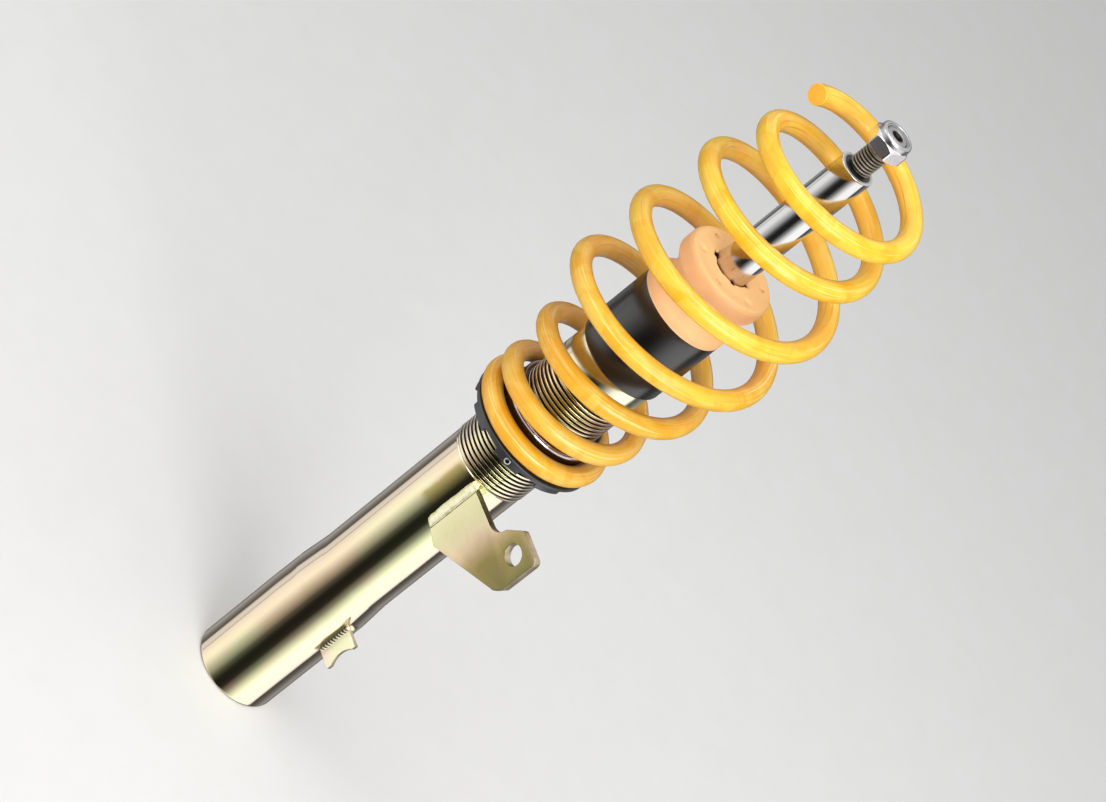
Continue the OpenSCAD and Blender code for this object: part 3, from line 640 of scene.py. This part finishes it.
def makeTube(v):
    top = v.top
    outside = [(v.footIn + 0.3, 0)] + arc(v.foot - 2, 2, 2, -90, 0, 10)
    outside += [(v.foot, z) for z in (3, 30, v.clampTop)]
    for i in range(1, 9):  # the clamped length eases into the slightly smaller neck
        outside.append((v.foot + (v.upperFoot - v.foot) * smooth(i / 8),
            v.clampTop + (v.easedTop - v.clampTop) * i / 8))
    outside += [(v.upperFoot, v.swageLow - 0.6), (v.upperFoot - 0.04, v.swageLow + 0.4),
        (v.body + 0.04, v.swageHigh - 0.4), (v.body, v.swageHigh + 0.6)]
    outside += [(v.body, z) for z in (112, 167, 222, v.thread.low)]
    inside = [(v.land, v.thread.high), (v.land, top - 1.2), (v.land - 0.15, top - 0.9), (v.land - 1, top - 0.05),
        (v.land - 1.1, top), (v.bodyIn + 0.2, top), (v.bodyIn, top - 0.3), (v.bodyIn, v.swageHigh),
        (v.footIn, v.swageLow), (v.footIn, 0.3), (v.footIn + 0.3, 0)]
    rounds = threaded(outside, v.thread, inside, v.columns)
    piece = addPiece("tubeShell", *rounds, "strut", "tube_gold", 40, "zinc_gold")
    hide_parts("strut_tube")


makeTube(Values(tube))
print("tube made")


# --- link bracket, locating lug and their welds

plates = {
    "round": 0.32,  # radius of the rounded edges
    "bracket": {"thick": 5, "y": -20.5, "rootZ": 183.5, "rootH": 38, "eyeX": 68, "eyeZ": 229.5, "eyeR": 6.2,
        "innerX": 15.5, "bevelX": 22.5, "touchX": 18.4},
    "lug": {"thick": 3, "z": 64, "h": 24.5, "innerX": 25.6, "out": 39.2, "hollow": 16.5, "flat": 3},
    "lip": {"low": 183.9, "high": 221.2, "steps": 60},
    "lugBead": {"ripples": 10, "spacing": 2.35, "x": 27.2, "radius": 1.6, "bow": 0.8, "columns": 28},
}


def platePiece(name, loops, thick, y, edge):  # a flat plate with rounded edges, from its outline and holes
    curve = setAll(bpy.data.curves.new(name, "CURVE"), dimensions="2D", fill_mode="BOTH",
        extrude=(thick / 2 - edge) * mm, bevel_depth=edge * mm, bevel_resolution=3, offset=-edge * mm)
    for loop in loops:
        line = curve.splines.new("POLY")
        line.use_cyclic_u = True
        line.points.add(len(loop) - 1)
        for point, (x, z) in zip(line.points, loop):
            point.co = (x * mm, z * mm, 0, 1)
    holder = linked(name + "Line", curve)
    mesh = evaluated(holder)
    bpy.data.objects.remove(holder)
    bpy.data.curves.remove(curve)
    mesh.transform(Matrix(((1, 0, 0, 0), (0, 0, -1, y * mm), (0, 1, 0, footZ * mm), (0, 0, 0, 1))))
    remade(mesh, lambda b: bmesh.ops.remove_doubles(b, verts=b.verts, dist=0.002 * mm))
    mesh.name = name
    return linked(name, mesh)


def trimPlate(piece, point, normal):  # cuts off what lies beyond a plane and closes the cut
    def trim(b):
        bmesh.ops.bisect_plane(b, geom=[*b.verts, *b.edges, *b.faces], dist=0.0005 * mm,
            plane_co=Vector(point) * mm, plane_no=Vector(normal), clear_outer=True)
        bmesh.ops.holes_fill(b, edges=[e for e in b.edges if len(e.link_faces) == 1])

    remade(piece.data, trim)


def bracketLoops(v):
    endX, topZ, rootTop = v.eyeX + 13, v.eyeZ + 12, v.rootZ + v.rootH
    outline = [(v.innerX, v.rootZ), (v.bevelX, v.rootZ), (v.bevelX + 9.5, v.rootZ - 2.5)]
    outline += arc(endX - 4.6, v.eyeZ - 20.2, 1.6, -68, -45, 3) + arc(endX - 3.5, v.eyeZ - 14, 3.5, -45, 0, 8)
    outline += arc(endX - 3.5, topZ - 3.5, 3.5, 0, 90, 12) + arc(v.eyeX - 7.2, topZ - 2, 2, 90, 135, 5)
    outline += arc(v.eyeX - v.eyeR - 18.2, rootTop + 9.5, 9, 0, -90, 18)
    return [outline + [(v.bevelX, rootTop), (v.innerX, rootTop)], arc(v.eyeX, v.eyeZ, v.eyeR, 0, -360, 64)[:64]]


def lugLoops(v):
    half = v.h / 2 - v.flat
    turn = degrees(asin(half / v.hollow))
    hollow = arc(v.out + sqrt(v.hollow ** 2 - half ** 2), v.z + v.h / 2, v.hollow, 180 + turn, 180 - turn, 24)
    return [[(v.innerX, v.z), (v.out, v.z)] + hollow + [(v.out, v.z + v.h), (v.innerX, v.z + v.h)]]


def lumpy(x, y, z, size, amount):
    return amount * noise.noise(Vector((x, y, z)) / size)


def strip(name, section, low, high, steps):  # a weld between two heights; section gives its outline
    heights = [low + (high - low) * i / steps for i in range(steps + 1)]
    rows = [section(z, i / steps) for i, z in enumerate(heights)]
    verts = [(x, y, z) for row, z in zip(rows, heights) for x, y in row]
    piece = addPiece(name, verts, capped(len(rows), len(rows[0])), "strut", "weld_gold", 50, "zinc_gold")
    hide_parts("bracket_weld")


def frontSection(z, share):
    # from the groove beside the plate's face over the bulge to the tube
    swell = smooth(min(share, 1 - share) * 14)
    outer = [(21.85, -22.05), (21.9, -22.6), (21.65, -22.95), (21, -23.15), (19.9, -23.15), (18.6, -23),
        (17.3, -22.75), (16.1, -22.4), (15.1, -21.9), (14.5, -21.3), (14.3, -20.9)]
    points = []
    for i, (x, y) in enumerate(outer):
        lumps = lumpy(x, y, z, 3.2, 0.42) + lumpy(x, y, z, 1.2, 0.16)
        bulge = swell * (0.34 * sin(pi * i / (len(outer) - 1)) + lumps) - 0.5 * (1 - swell)
        points.append((x - 0.45 * bulge, y - 0.89 * bulge))
    return points + [(16.2, -18.8), (18.9, -18.35)]


def backSection(z, share):
    swell = smooth(min(share, 1 - share) * 12)
    points = [(18.2, -18.05)]
    for x, y in [(22.3, -18.05), (21.9, -17), (21.4, -15.8), (20.9, -14.8)]:
        bulge = swell * (0.25 + lumpy(x, y, z, 2.6, 0.5)) - 0.5 * (1 - swell)
        points.append((x + 0.8 * bulge, y + 0.5 * bulge))
    return points + [(20.6, -14.9)]


def makeBead(v, name, lug, side):
    columns, steps, foot = v.columns, 8, lug.z + 0.3
    verts = []

    def addRound(radius, z, bow):
        for x, y, _ in ring(columns, radius, z):
            verts.append((v.x + x, side * lug.thick / 2 + y, z + bow * (x / radius) ** 2))

    for i in range(v.ripples):
        for j in range(steps):
            share = (j + 0.5) / steps
            swell = 0.66 + 0.34 * sqrt(1 - (2 * share - 1) ** 2) + 0.03 * sin(5.1 * i + side)
            addRound(v.radius * swell * min(1, 0.68 + 0.4 * i), foot + v.spacing * (i + share), v.bow)
    for i in range(1, 8):  # the round end where the bead stopped
        a = radians(90 * i / 8)
        addRound(v.radius * 1.12 * cos(a) + 0.02, foot + v.spacing * v.ripples + v.bow + 1.5 * sin(a), 0)
    piece = addPiece(name, verts, capped(len(verts) // columns, columns), "strut", "weld_gold", 75, "zinc_gold")

    def inValley(p):  # painted shade: the valleys between the ripples get the dark finish
        out = (p.center.x / mm - v.x) / v.radius
        phase = (p.center.z / mm - footZ - foot - v.bow * min(out * out, 1)) / v.spacing
        return 0 < phase < v.ripples and not 0.25 < phase % 1 < 0.75

    markFaces(piece, "weld_valley_shade", inValley)
    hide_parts("lug_weld")


def makePlates(v):
    bracket, lug, lip = v.bracket, v.lug, v.lip
    linkPlate = platePiece("linkPlate", bracketLoops(bracket), bracket.thick, bracket.y, v.round)
    trimPlate(linkPlate, (bracket.bevelX, -23, 0), (-0.773, -0.634, 0))
    trimPlate(linkPlate, (bracket.touchX, -18, 0), (-1, 0, 0))
    lugPlate = platePiece("lugPlate", lugLoops(lug), lug.thick, 0, v.round)
    for plate in (linkPlate, lugPlate):
        dress(plate, "strut", "plate_gold", 30)
        markFaces(plate, "plate_edge", lambda p: abs(p.normal.y) < 0.55)
    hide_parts("link_bracket")
    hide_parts("locating_lug")
    strip("weldFront", frontSection, lip.low, lip.high, lip.steps)
    strip("weldBack", backSection, lip.low + 1, lip.high - 1, 40)
    makeBead(v.lugBead, "lugBeadFront", lug, -1)
    makeBead(v.lugBead, "lugBeadBack", lug, 1)


makePlates(Values(plates))
print("bracket, lug and welds made")


# --- height collar and its lock screw

collar = {
    "crown": 39.5, "flange": 41.5, "neck": 31, "bore": 26.45,  # radii
    "z": 251.6, "flangeZ": 256.8, "flangeTop": 258.8, "neckTop": 282.5,
    "ledge": 22.4,  # height of the small step in the neck over the collar's foot
    "notches": 8, "notchWide": 13, "notchDeep": 3.2, "notchTurn": -29.5,
    "screwTurn": -52, "screwUp": 2.6, "screwR": 2.2, "screwHead": 39.4, "columns": 256,
}


def addCutter(v):  # the tool that cuts the notches and the screw's hole
    b = bmesh.new()
    z = v.z + footZ
    sides = 40

    def prism(turn, ends):
        spin = Matrix.Rotation(radians(turn), 4, "Z")
        corners = [b.verts.new(spin @ (Vector(p) * mm)) for end in ends for p in end]
        for face in capped(2, len(ends[0])):
            b.faces.new([corners[k] for k in face])

    for i in range(v.notches):
        prism(v.notchTurn + 360 / v.notches * i, [[(r, side * v.notchWide / 2, h)
            for r, side in ((22, -1), (50, -1), (50, 1), (22, 1))] for h in (z - 2, z + v.notchDeep)])
    hole = arc(0, z + v.screwUp, v.screwR + 0.12, 0, 360, sides)[:sides]
    prism(v.screwTurn, [[(x, *p) for p in hole] for x in (24.5, 45)])
    bmesh.ops.recalc_face_normals(b, faces=b.faces)
    mesh = bpy.data.meshes.new("cutter")
    b.to_mesh(mesh)
    b.free()
    return linked("cutter", mesh)


def makeCollar(v):
    low, top, ledge = v.z, v.neckTop, v.z + v.ledge
    crown, flange, neck, bore = v.crown, v.flange, v.neck, v.bore
    profile = [(bore + 0.8, low)] + arc(crown - 0.7, low + 0.7, 0.7, -90, 0, 4)
    profile += [(crown + 0.1, v.flangeZ - 1.2)] + arc(crown + 0.8, v.flangeZ - 0.9, 0.6, 180, 130, 3)
    profile += arc(flange - 0.7, v.flangeZ + 0.7, 0.7, -50, 0, 4) + arc(flange - 0.6, v.flangeTop - 0.6, 0.6, 0, 90, 5)
    profile += arc(neck + 1.5, v.flangeTop + 1.5, 1.5, 270, 180, 6) + [(neck, v.flangeTop + 4)]
    profile += arc(neck - 2.2, ledge - 2.2, 2.2, 0, 76, 12) + [(neck - 1.75, ledge + 0.02), (neck - 1.75, ledge + 2)]
    profile += arc(neck - 2.85, top - 1.1, 1.1, 0, 90, 7) + [(bore + 1.4, top)]
    profile += arc(bore + 0.8, top - 0.8, 0.8, 90, 180, 5) + [(bore, low + 0.8)]
    piece = addPiece("heightCollar", *turned(profile, v.columns), "collar", "collar_black", 30)
    cutter = addCutter(v)
    setAll(piece.modifiers.new("notches", "BOOLEAN"), operation="DIFFERENCE", solver="EXACT", object=cutter)
    setAll(piece.modifiers.new("soften", "BEVEL"), limit_method="ANGLE", angle_limit=radians(55), width=0.3 * mm,
        segments=2)
    whole, mesh = piece.data, evaluated(piece)
    piece.modifiers.clear()
    piece.data = mesh
    bpy.data.meshes.remove(whole)
    bpy.data.objects.remove(cutter)
    shadeSmooth(mesh, 32)
    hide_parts("spring_collar")


def makeScrew(v):
    columns = 48
    turn = radians(v.screwTurn)
    r, head, centreZ = v.screwR, v.screwHead, v.z + v.screwUp
    # radius and place along the screw; the last rows are its socket
    rows = [(0.01, 26.6), (r - 0.6, 26.6), (r, 27.2), (r, head - 0.55), (r - 0.12, head - 0.2), (r - 0.4, head),
        (1.5, head), (1.32, head - 0.12), (1.22, head - 0.4), (1.2, head - 2.2), (0.01, head - 2.8)]
    verts = []
    for i, (radius, along) in enumerate(rows):
        inSocket = i >= 8 and radius > 0.5
        for side, up, _ in ring(columns, radius, 0, lambda a, r, z: (hexed(a, r) if inSocket else r, z)):
            verts.append((along * cos(turn) - side * sin(turn), along * sin(turn) + side * cos(turn), centreZ + up))
    piece = addPiece("collarScrew", verts, stack(len(rows), columns), "collar", "screw_steel", 50)
    axis = Vector((cos(turn), sin(turn), 0))
    centre = Vector((0, 0, (centreZ + footZ) * mm))

    # painted shade inside the screw's socket
    def inSocketShade(p):
        along = p.center.dot(axis)
        off = (p.center - axis * along - centre).length / mm
        return head - 3.2 < along / mm < head - 0.15 and off < 1.45

    markFaces(piece, "screw_socket_shade", inSocketShade)
    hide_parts("lock_screw")


makeCollar(Values(collar))
makeScrew(Values(collar))
print("collar and screw made")


# --- coil spring

spring = {
    "wire": 6.04, "endRound": 0.5,  # radii of the round wire and of the edge at its ends
    "turns": 7, "start": -168,  # degrees
    "firstZ": 265.04, "closedRise": 13.4, "rise": 231.1,
    "seat": 37.56, "belly": 58, "crown": 46,  # radii
    # share of the rise, and of the way from the seat's or crown's radius to the belly's
    "low": [(0.065, 0.13), (0.136, 0.21), (0.233, 0.52), (0.32, 0.95), (0.421, 1), (0.521, 1), (0.622, 1)],
    "high": [(0.732, 0.78), (0.814, 0.27), (0.892, 0.06), (0.9525, 0.03), (1, 0)],
    "ringsPerTurn": 72, "sides": 28,
}


def makeSpring(v):
    rows = [(0, v.seat), (0.14 * v.closedRise, v.seat), (v.closedRise, v.seat)]
    for end, part in ((v.seat, v.low), (v.crown, v.high)):
        rows += [(v.closedRise + v.rise * share, end + (v.belly - end) * out) for share, out in part]
    rings, sides, edge = v.turns * v.ringsPerTurn, v.sides, v.endRound
    angles, line, travelled = [], [], [0]
    for i in range(rings + 1):
        u = v.turns * i / rings
        t = 2 * u if u < 1 else 2 + (u - 1) * (len(rows) - 3) / (v.turns - 1)
        angles.append(radians(v.start + 360 * u))
        line.append(Vector(polar(angles[i], catmull(rows, t, 1), v.firstZ + catmull(rows, t, 0))))
    for here, ahead in zip(line, line[1:]):
        travelled.append(travelled[-1] + (ahead - here).length)
    verts, runs = [], []

    def addRing(i, inward, radius):
        along = (line[min(i + 1, rings)] - line[max(i - 1, 0)]).normalized()
        e = Vector(polar(angles[i], 1, 0))
        out = (e - along * e.dot(along)).normalized()
        up = out.cross(along)
        for x, y, _ in ring(sides, radius, 0):
            verts.append(line[i] + along * inward + x * out + y * up)
            runs.append((x, y, travelled[i]))

    turns = [radians(x) for x in (0, 30, 60)]
    rounded = [(edge * (1 - cos(a)), v.wire - edge * (1 - sin(a))) for a in turns]
    for inward, radius in rounded:
        addRing(0, inward, radius)
    for i in range(1, rings):
        addRing(i, 0, v.wire)
    for inward, radius in reversed(rounded):
        addRing(rings, -inward, radius)
    piece = addPiece("springWire", verts, capped(len(verts) // sides, sides), "spring", "spring_yellow", runs=runs)
    markFaces(piece, "spring_end", lambda p: len(p.vertices) > 8)
    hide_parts("coil_spring")


makeSpring(Values(spring))
print("spring made")


# --- bump stop and its sleeve

foam = {
    "bottomZ": 332.3, "sleeveTop": 378, "topZ": 415, "columns": 240,
    "bore": 11.7, "lip": 11.25, "waist": 23.3, "sleeveIn": 26.8, "sleeveOut": 28.2, "flange": 29.2,  # radii
    "marks": 6, "pit": (1.9, 2), "hollow": (3.5, 1),  # radius and depth; small pits and wide hollows take turns
    # degrees round the rod, half the width in degrees, depth
    "nicks": [(-133, 15, 1.7), (-82, 25, 0.65), (-29, 9, 1.7), (32, 9, 1.3), (92, 8, 1.3), (158, 9, 1.3)],
}


def makeFoam(v):
    top, bore, lip, waist, flange = v.topZ, v.bore, v.lip, v.waist, v.flange
    inR, outR, up = v.sleeveIn, v.sleeveOut, v.topZ - v.sleeveTop
    hidden = [(0, waist - 4), (5, waist - 2.4), (14, inR - 1), (20, inR - 0.8), (27, waist - 1), (31, waist - 0.6),
        (38, inR - 0.6)]
    shown = [(0.5, outR + 0.1), (3, outR + 0.4), (6, outR - 0.2), (9.5, outR - 3), (up - 23, waist),
        (up - 18.5, waist + 0.4), (up - 14.3, flange - 2.6), (up - 11.4, flange - 0.3), (up - 9, flange),
        (up - 3.4, flange), (up - 1.5, flange - 0.6), (up - 0.4, flange - 1.7), (up, flange - 3)]
    profile = [(bore, v.bottomZ)] + eased(hidden, 4, v.bottomZ)
    profile += [(inR - 0.6, v.sleeveTop), (outR, v.sleeveTop)] + eased(shown, 6, v.sleeveTop)
    rim = flange - 3  # the face dips a little inside its soft rim
    profile += [(r, top - 0.35 * smooth((rim - r) / 6)) for r, _ in straight(rim, 0, lip + 1.6, 0, 44)]
    profile += [(lip + 0.9, top - 0.4), (lip + 0.4, top - 0.62), (lip + 0.08, top - 1.15), (lip, top - 1.6),
        (lip, top - 3.2), (lip + 0.2, top - 4.6), (bore, top - 6.5)]
    profile += straight(bore, top - 6.5, bore, v.bottomZ, 6)[:5]
    pits = []
    for i in range(v.marks):
        wide, deep = v.hollow if i % 2 else v.pit
        pits.append((*polar(radians(pitTurn + 360 / v.marks * i), pitR, wide), deep))

    def shape(a, r, z):
        x, y, height = polar(a, r, z)
        radius = r
        if r > 15 and z > top - 1:
            for cx, cy, wide, deep in pits:
                away = hypot(x - cx, y - cy) / wide
                if away < 1:
                    height -= deep * (1 - away) if (wide, deep) == v.pit else deep * (1 - away * away) ** 1.5
        if r < lip + 2 and z > top - 5:
            for place, wide, deep in v.nicks:
                off = abs((degrees(a) - place + 180) % 360 - 180) / wide
                if off < 1:
                    radius += deep * smooth(2.4 * (1 - off)) * smooth((lip + 2.2 - r) / 1.2)
        if z > v.sleeveTop + 1 and r > lip + 3:
            swell = lumpy(x, y, z, 11, 0.16) + lumpy(x, y, z, 4, 0.05)
            if z > top - 1:
                height += min(swell, 0)
            else:
                radius += swell - 0.16
        return radius, height

    piece = addPiece("bumpFoam", *turned(profile, v.columns, shape), "bump", "foam_peach", 60)
    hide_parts("bump_stop")


sleeve = {
    "z": 328, "top": 378, "outer": 28.2, "inner": 26.8, "lip": 26.3, "bend": 2.3, "columns": 192,
}


def makeSleeve(v):
    profile = [(v.lip, v.z), (v.lip + 0.3, v.z)] + arc(v.outer - v.bend, v.z + v.bend, v.bend, -70, 0, 12)
    profile += [(v.outer, v.z + 12), (v.outer, v.top - 12)] + arc(v.outer - 0.35, v.top - 0.35, 0.35, 0, 90, 4)
    profile += arc(v.inner + 0.3, v.top - 0.3, 0.3, 90, 180, 3)
    profile += [(v.inner, v.z + v.bend + 0.5), (v.lip, v.z + 2)]
    piece = addPiece("sleeveShell", *turned(profile, v.columns), "bump", "sleeve_black", 45)
    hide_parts("dust_sleeve")


makeFoam(Values(foam))
makeSleeve(Values(sleeve))
print("bump stop and sleeve made")


# --- rod, nut and insert

rod = {
    "r": 11, "stud": 6,
    "low": 159.7, "studTop": 196.7, "ringZ": 281.7, "shoulder": 508, "top": 537.4,  # heights
    "socket": 3.2, "socketDeep": 8, "columns": 96,
    "thread": {
        "low": 508.9, "high": 536.3, "pitch": 2, "rootZ": 508.38, "crest": 7, "lowR": 6, "highR": 7,
        "depth": 1.08, "fade": 0.9,
        "form": [(0, 1), (0.1, 1), (0.22, 0.66), (0.33, 0.24), (0.41, 0.04), (0.5, 0), (0.59, 0.04),
            (0.67, 0.24), (0.78, 0.66), (0.9, 1)],
    },
}
nut = {
    "z": 525.3, "flat": 10.5, "bore": 7.05, "crimp": 10.3, "columns": 144,
    "turn": -37,  # degrees, of one corner
}


def makeRod(v):
    r, low, ringZ, shoulder, top = v.r, v.low, v.ringZ, v.shoulder, v.top
    profile = [(0.01, low), (v.stud - 1, low), (v.stud, low + 1), (v.stud, v.studTop), (r, v.studTop),
        (r, ringZ + 3), (r - 0.8, ringZ + 3), (r - 0.8, ringZ + 7), (r, ringZ + 7)]
    profile += [(r, z) for z in (330, 389, 448, 507)] + arc(r - 0.45, shoulder - 0.45, 0.45, 0, 70, 4)
    profile += [(r - 0.9, shoulder), (0.01, shoulder)]
    chrome = addPiece("chromeRod", *turned(profile, v.columns * 2, None, False), "rod", "rod_chrome", 38)

    def onShoulder(p):
        return abs(p.center.z / mm - shoulder - footZ) < 0.03 and hypot(p.center.x, p.center.y) < (r - 0.95) * mm

    markFaces(chrome, "shoulder_steel", onShoulder)
    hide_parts("piston_rod")

    def socket(a, r, z):
        return (hexed(a, r) if r == v.socket else r), z

    base = [(0.01, shoulder - 0.2), (5.85, shoulder - 0.2), (5.95, shoulder + 0.3), (6, v.thread.low)]
    end = [(7, v.thread.high), (6.9, top - 0.75), (6.2, top), (4.2, top), (3.7, top - 0.35),
        (v.socket, top - 0.7), (v.socket, top - v.socketDeep), (0.01, top - v.socketDeep - 1)]
    rounds = threaded(base, v.thread, end, v.columns, socket)
    shank = addPiece("rodShank", *rounds, "rod", "shank_steel", 60, "rod_chrome")
    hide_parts("piston_rod")


def makeNut(v):
    flat, bore, crimp, z0 = v.flat, v.bore, v.crimp, v.z
    rim = flat / cos(pi / 6) + 0.15

    def shape(a, r, z):
        if r < flat - 0.15 or z > z0 + 9.25:
            return r, z
        # the corners are slightly rounded, and the chamfers cut them to a cone
        total = sum(max(0, cos(a - radians(v.turn + 30 + 60 * i))) ** 90 for i in range(6))
        return min(r, flat / total ** (1 / 90)), z

    profile = [(bore + 0.5, z0), (9.4, z0), (10.1, z0 + 0.08)] + straight(10.1, z0 + 0.08, rim, z0 + 1.73, 7)
    profile += straight(rim, z0 + 1.73, rim, z0 + 7.53, 6) + straight(rim, z0 + 7.53, 10.45, z0 + 8.88, 8)
    profile += [(10.32, z0 + 9.05), (crimp - 0.02, z0 + 9.4), (crimp, z0 + 10.4)]
    profile += arc(crimp - 1.75, z0 + 11.05, 1.75, 8, 96, 9) + arc(8.35, z0 + 12.3, 0.48, 80, 190, 5)
    profile += [(7.95, z0 + 11.9), (8.8, z0 + 11.4), (8.8, z0 + 9), (bore, z0 + 9), (bore, z0 + 0.5)]
    piece = addPiece("lockNut", *turned(profile, v.columns, shape), "rod", "nut_zinc", 24)
    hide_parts("top_nut")
    inner = [(bore, z0 + 9.05), (8.75, z0 + 9.05), (8.75, z0 + 11.5), (8.3, z0 + 11.95), (7.6, z0 + 12),
        (bore + 0.1, z0 + 11.8)]
    insert = addPiece("nutRing", *turned(inner, 96), "rod", "nut_nylon")
    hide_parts("nut_insert")


makeRod(Values(rod))
makeNut(Values(nut))
print("rod and nut made")


# --- floor, lamps and world

studio = {
    "floorSize": 40, "floorTone": 0.8, "background": 0.92,
    "ambientFront": 0.7,  # the studio is lighter on the camera's side
    "ambientBack": 0.25,
    "lamps": {
        "lampAbove": {"place": (0.15, -0.25, 1.85), "size": 1.4, "power": 15},
        "lampLeft": {"place": (-1.5, -1.6, 1.5), "size": 1.3, "power": 7},
        "lampRight": {"place": (1.7, -0.9, 1.1), "size": 1.2, "power": 26},
    },
    "aim": (0, 0, 0.25),
    # tones round the strut that gloss sees, by degrees from the camera's side
    "tones": [
        (-180, 0.03), (-160, 0.24), (-146, 0.42), (-128, 0.22), (-114, 0.09), (-109, 0.84), (-97, 0.92),
        (-94.6, 0.94), (-93.2, 0.1), (-91.8, 0.95), (-88, 1.08), (-76, 1.13), (-60, 1.08), (-46, 0.74), (-32, 0.46),
        (-18, 0.11), (-6, 0.022), (5, 0.018), (16, 0.03), (30, 0.28), (46, 0.9), (62, 1.45), (96, 1.45), (104, 1.15),
        (107, 0.06), (122, 0.13), (144, 0.34), (160, 0.22), (180, 0.03),
    ],
}


def makeStudio(v):
    half, low, tone = v.floorSize / 2, footZ * mm, v.floorTone
    mesh = bpy.data.meshes.new("floor")
    mesh.from_pydata([(x * half, y * half, low) for x, y in ((-1, -1), (1, -1), (1, 1), (-1, 1))], [], [(0, 1, 2, 3)])
    floor = linked("floor", mesh)
    s = newShading("floorPaper")
    colour = s.veil((tone, tone, tone), s.noise(40, 4), 0.3, 0.7, 1, (tone * 0.98, tone * 0.98, tone * 0.97))
    mesh.materials.append(s.surface(colour, 0.9, None, 0, {"Specular IOR Level": 0.1}))
    floor.visible_glossy = False
    for name, lamp in v.lamps.items():
        place = Vector(lamp["place"])
        thing = linked(name, setAll(bpy.data.lights.new(name, "AREA"), size=lamp["size"], energy=lamp["power"]))
        setAll(thing, location=place, rotation_mode="QUATERNION",
            rotation_quaternion=(Vector(v.aim) - place).to_track_quat("-Z", "Y"))
    world = bpy.data.worlds.new("studio")
    bpy.context.scene.world = world
    s = Shading(world)
    x, y, z = s.split(s.node("TexCoord"))
    ahead, across = facing(x, y, cameraView["turn"])
    share = across.math("ARCTAN2", across, ahead) / (2 * pi) + 0.5
    highest = max(t for _, t in v.tones)
    tones = s.ramp(share, [((d + 180) / 360, t / highest) for d, t in v.tones]) * highest
    gloss = tones + s.span(z, 0.12, 0.34) * (v.background - tones)
    path = s.node("LightPath").socket.node
    seen, shiny, clear = (Value(s, path.outputs[f"Is {ray} Ray"]) for ray in ("Camera", "Glossy", "Transmission"))
    ambient = s.span(ahead, -1, 1, v.ambientBack, v.ambientFront)
    strength = ambient + (shiny + clear) * (gloss - ambient)
    strength = strength + seen * (v.background - strength)
    sky = s.node("Background", {}, {"Color": (1, 1, 1, 1), "Strength": strength})
    s.node("OutputWorld", {}, (sky,))


makeStudio(Values(studio))
bpy.context.scene.view_settings.view_transform = "Standard"
print("floor, lamps and world made")
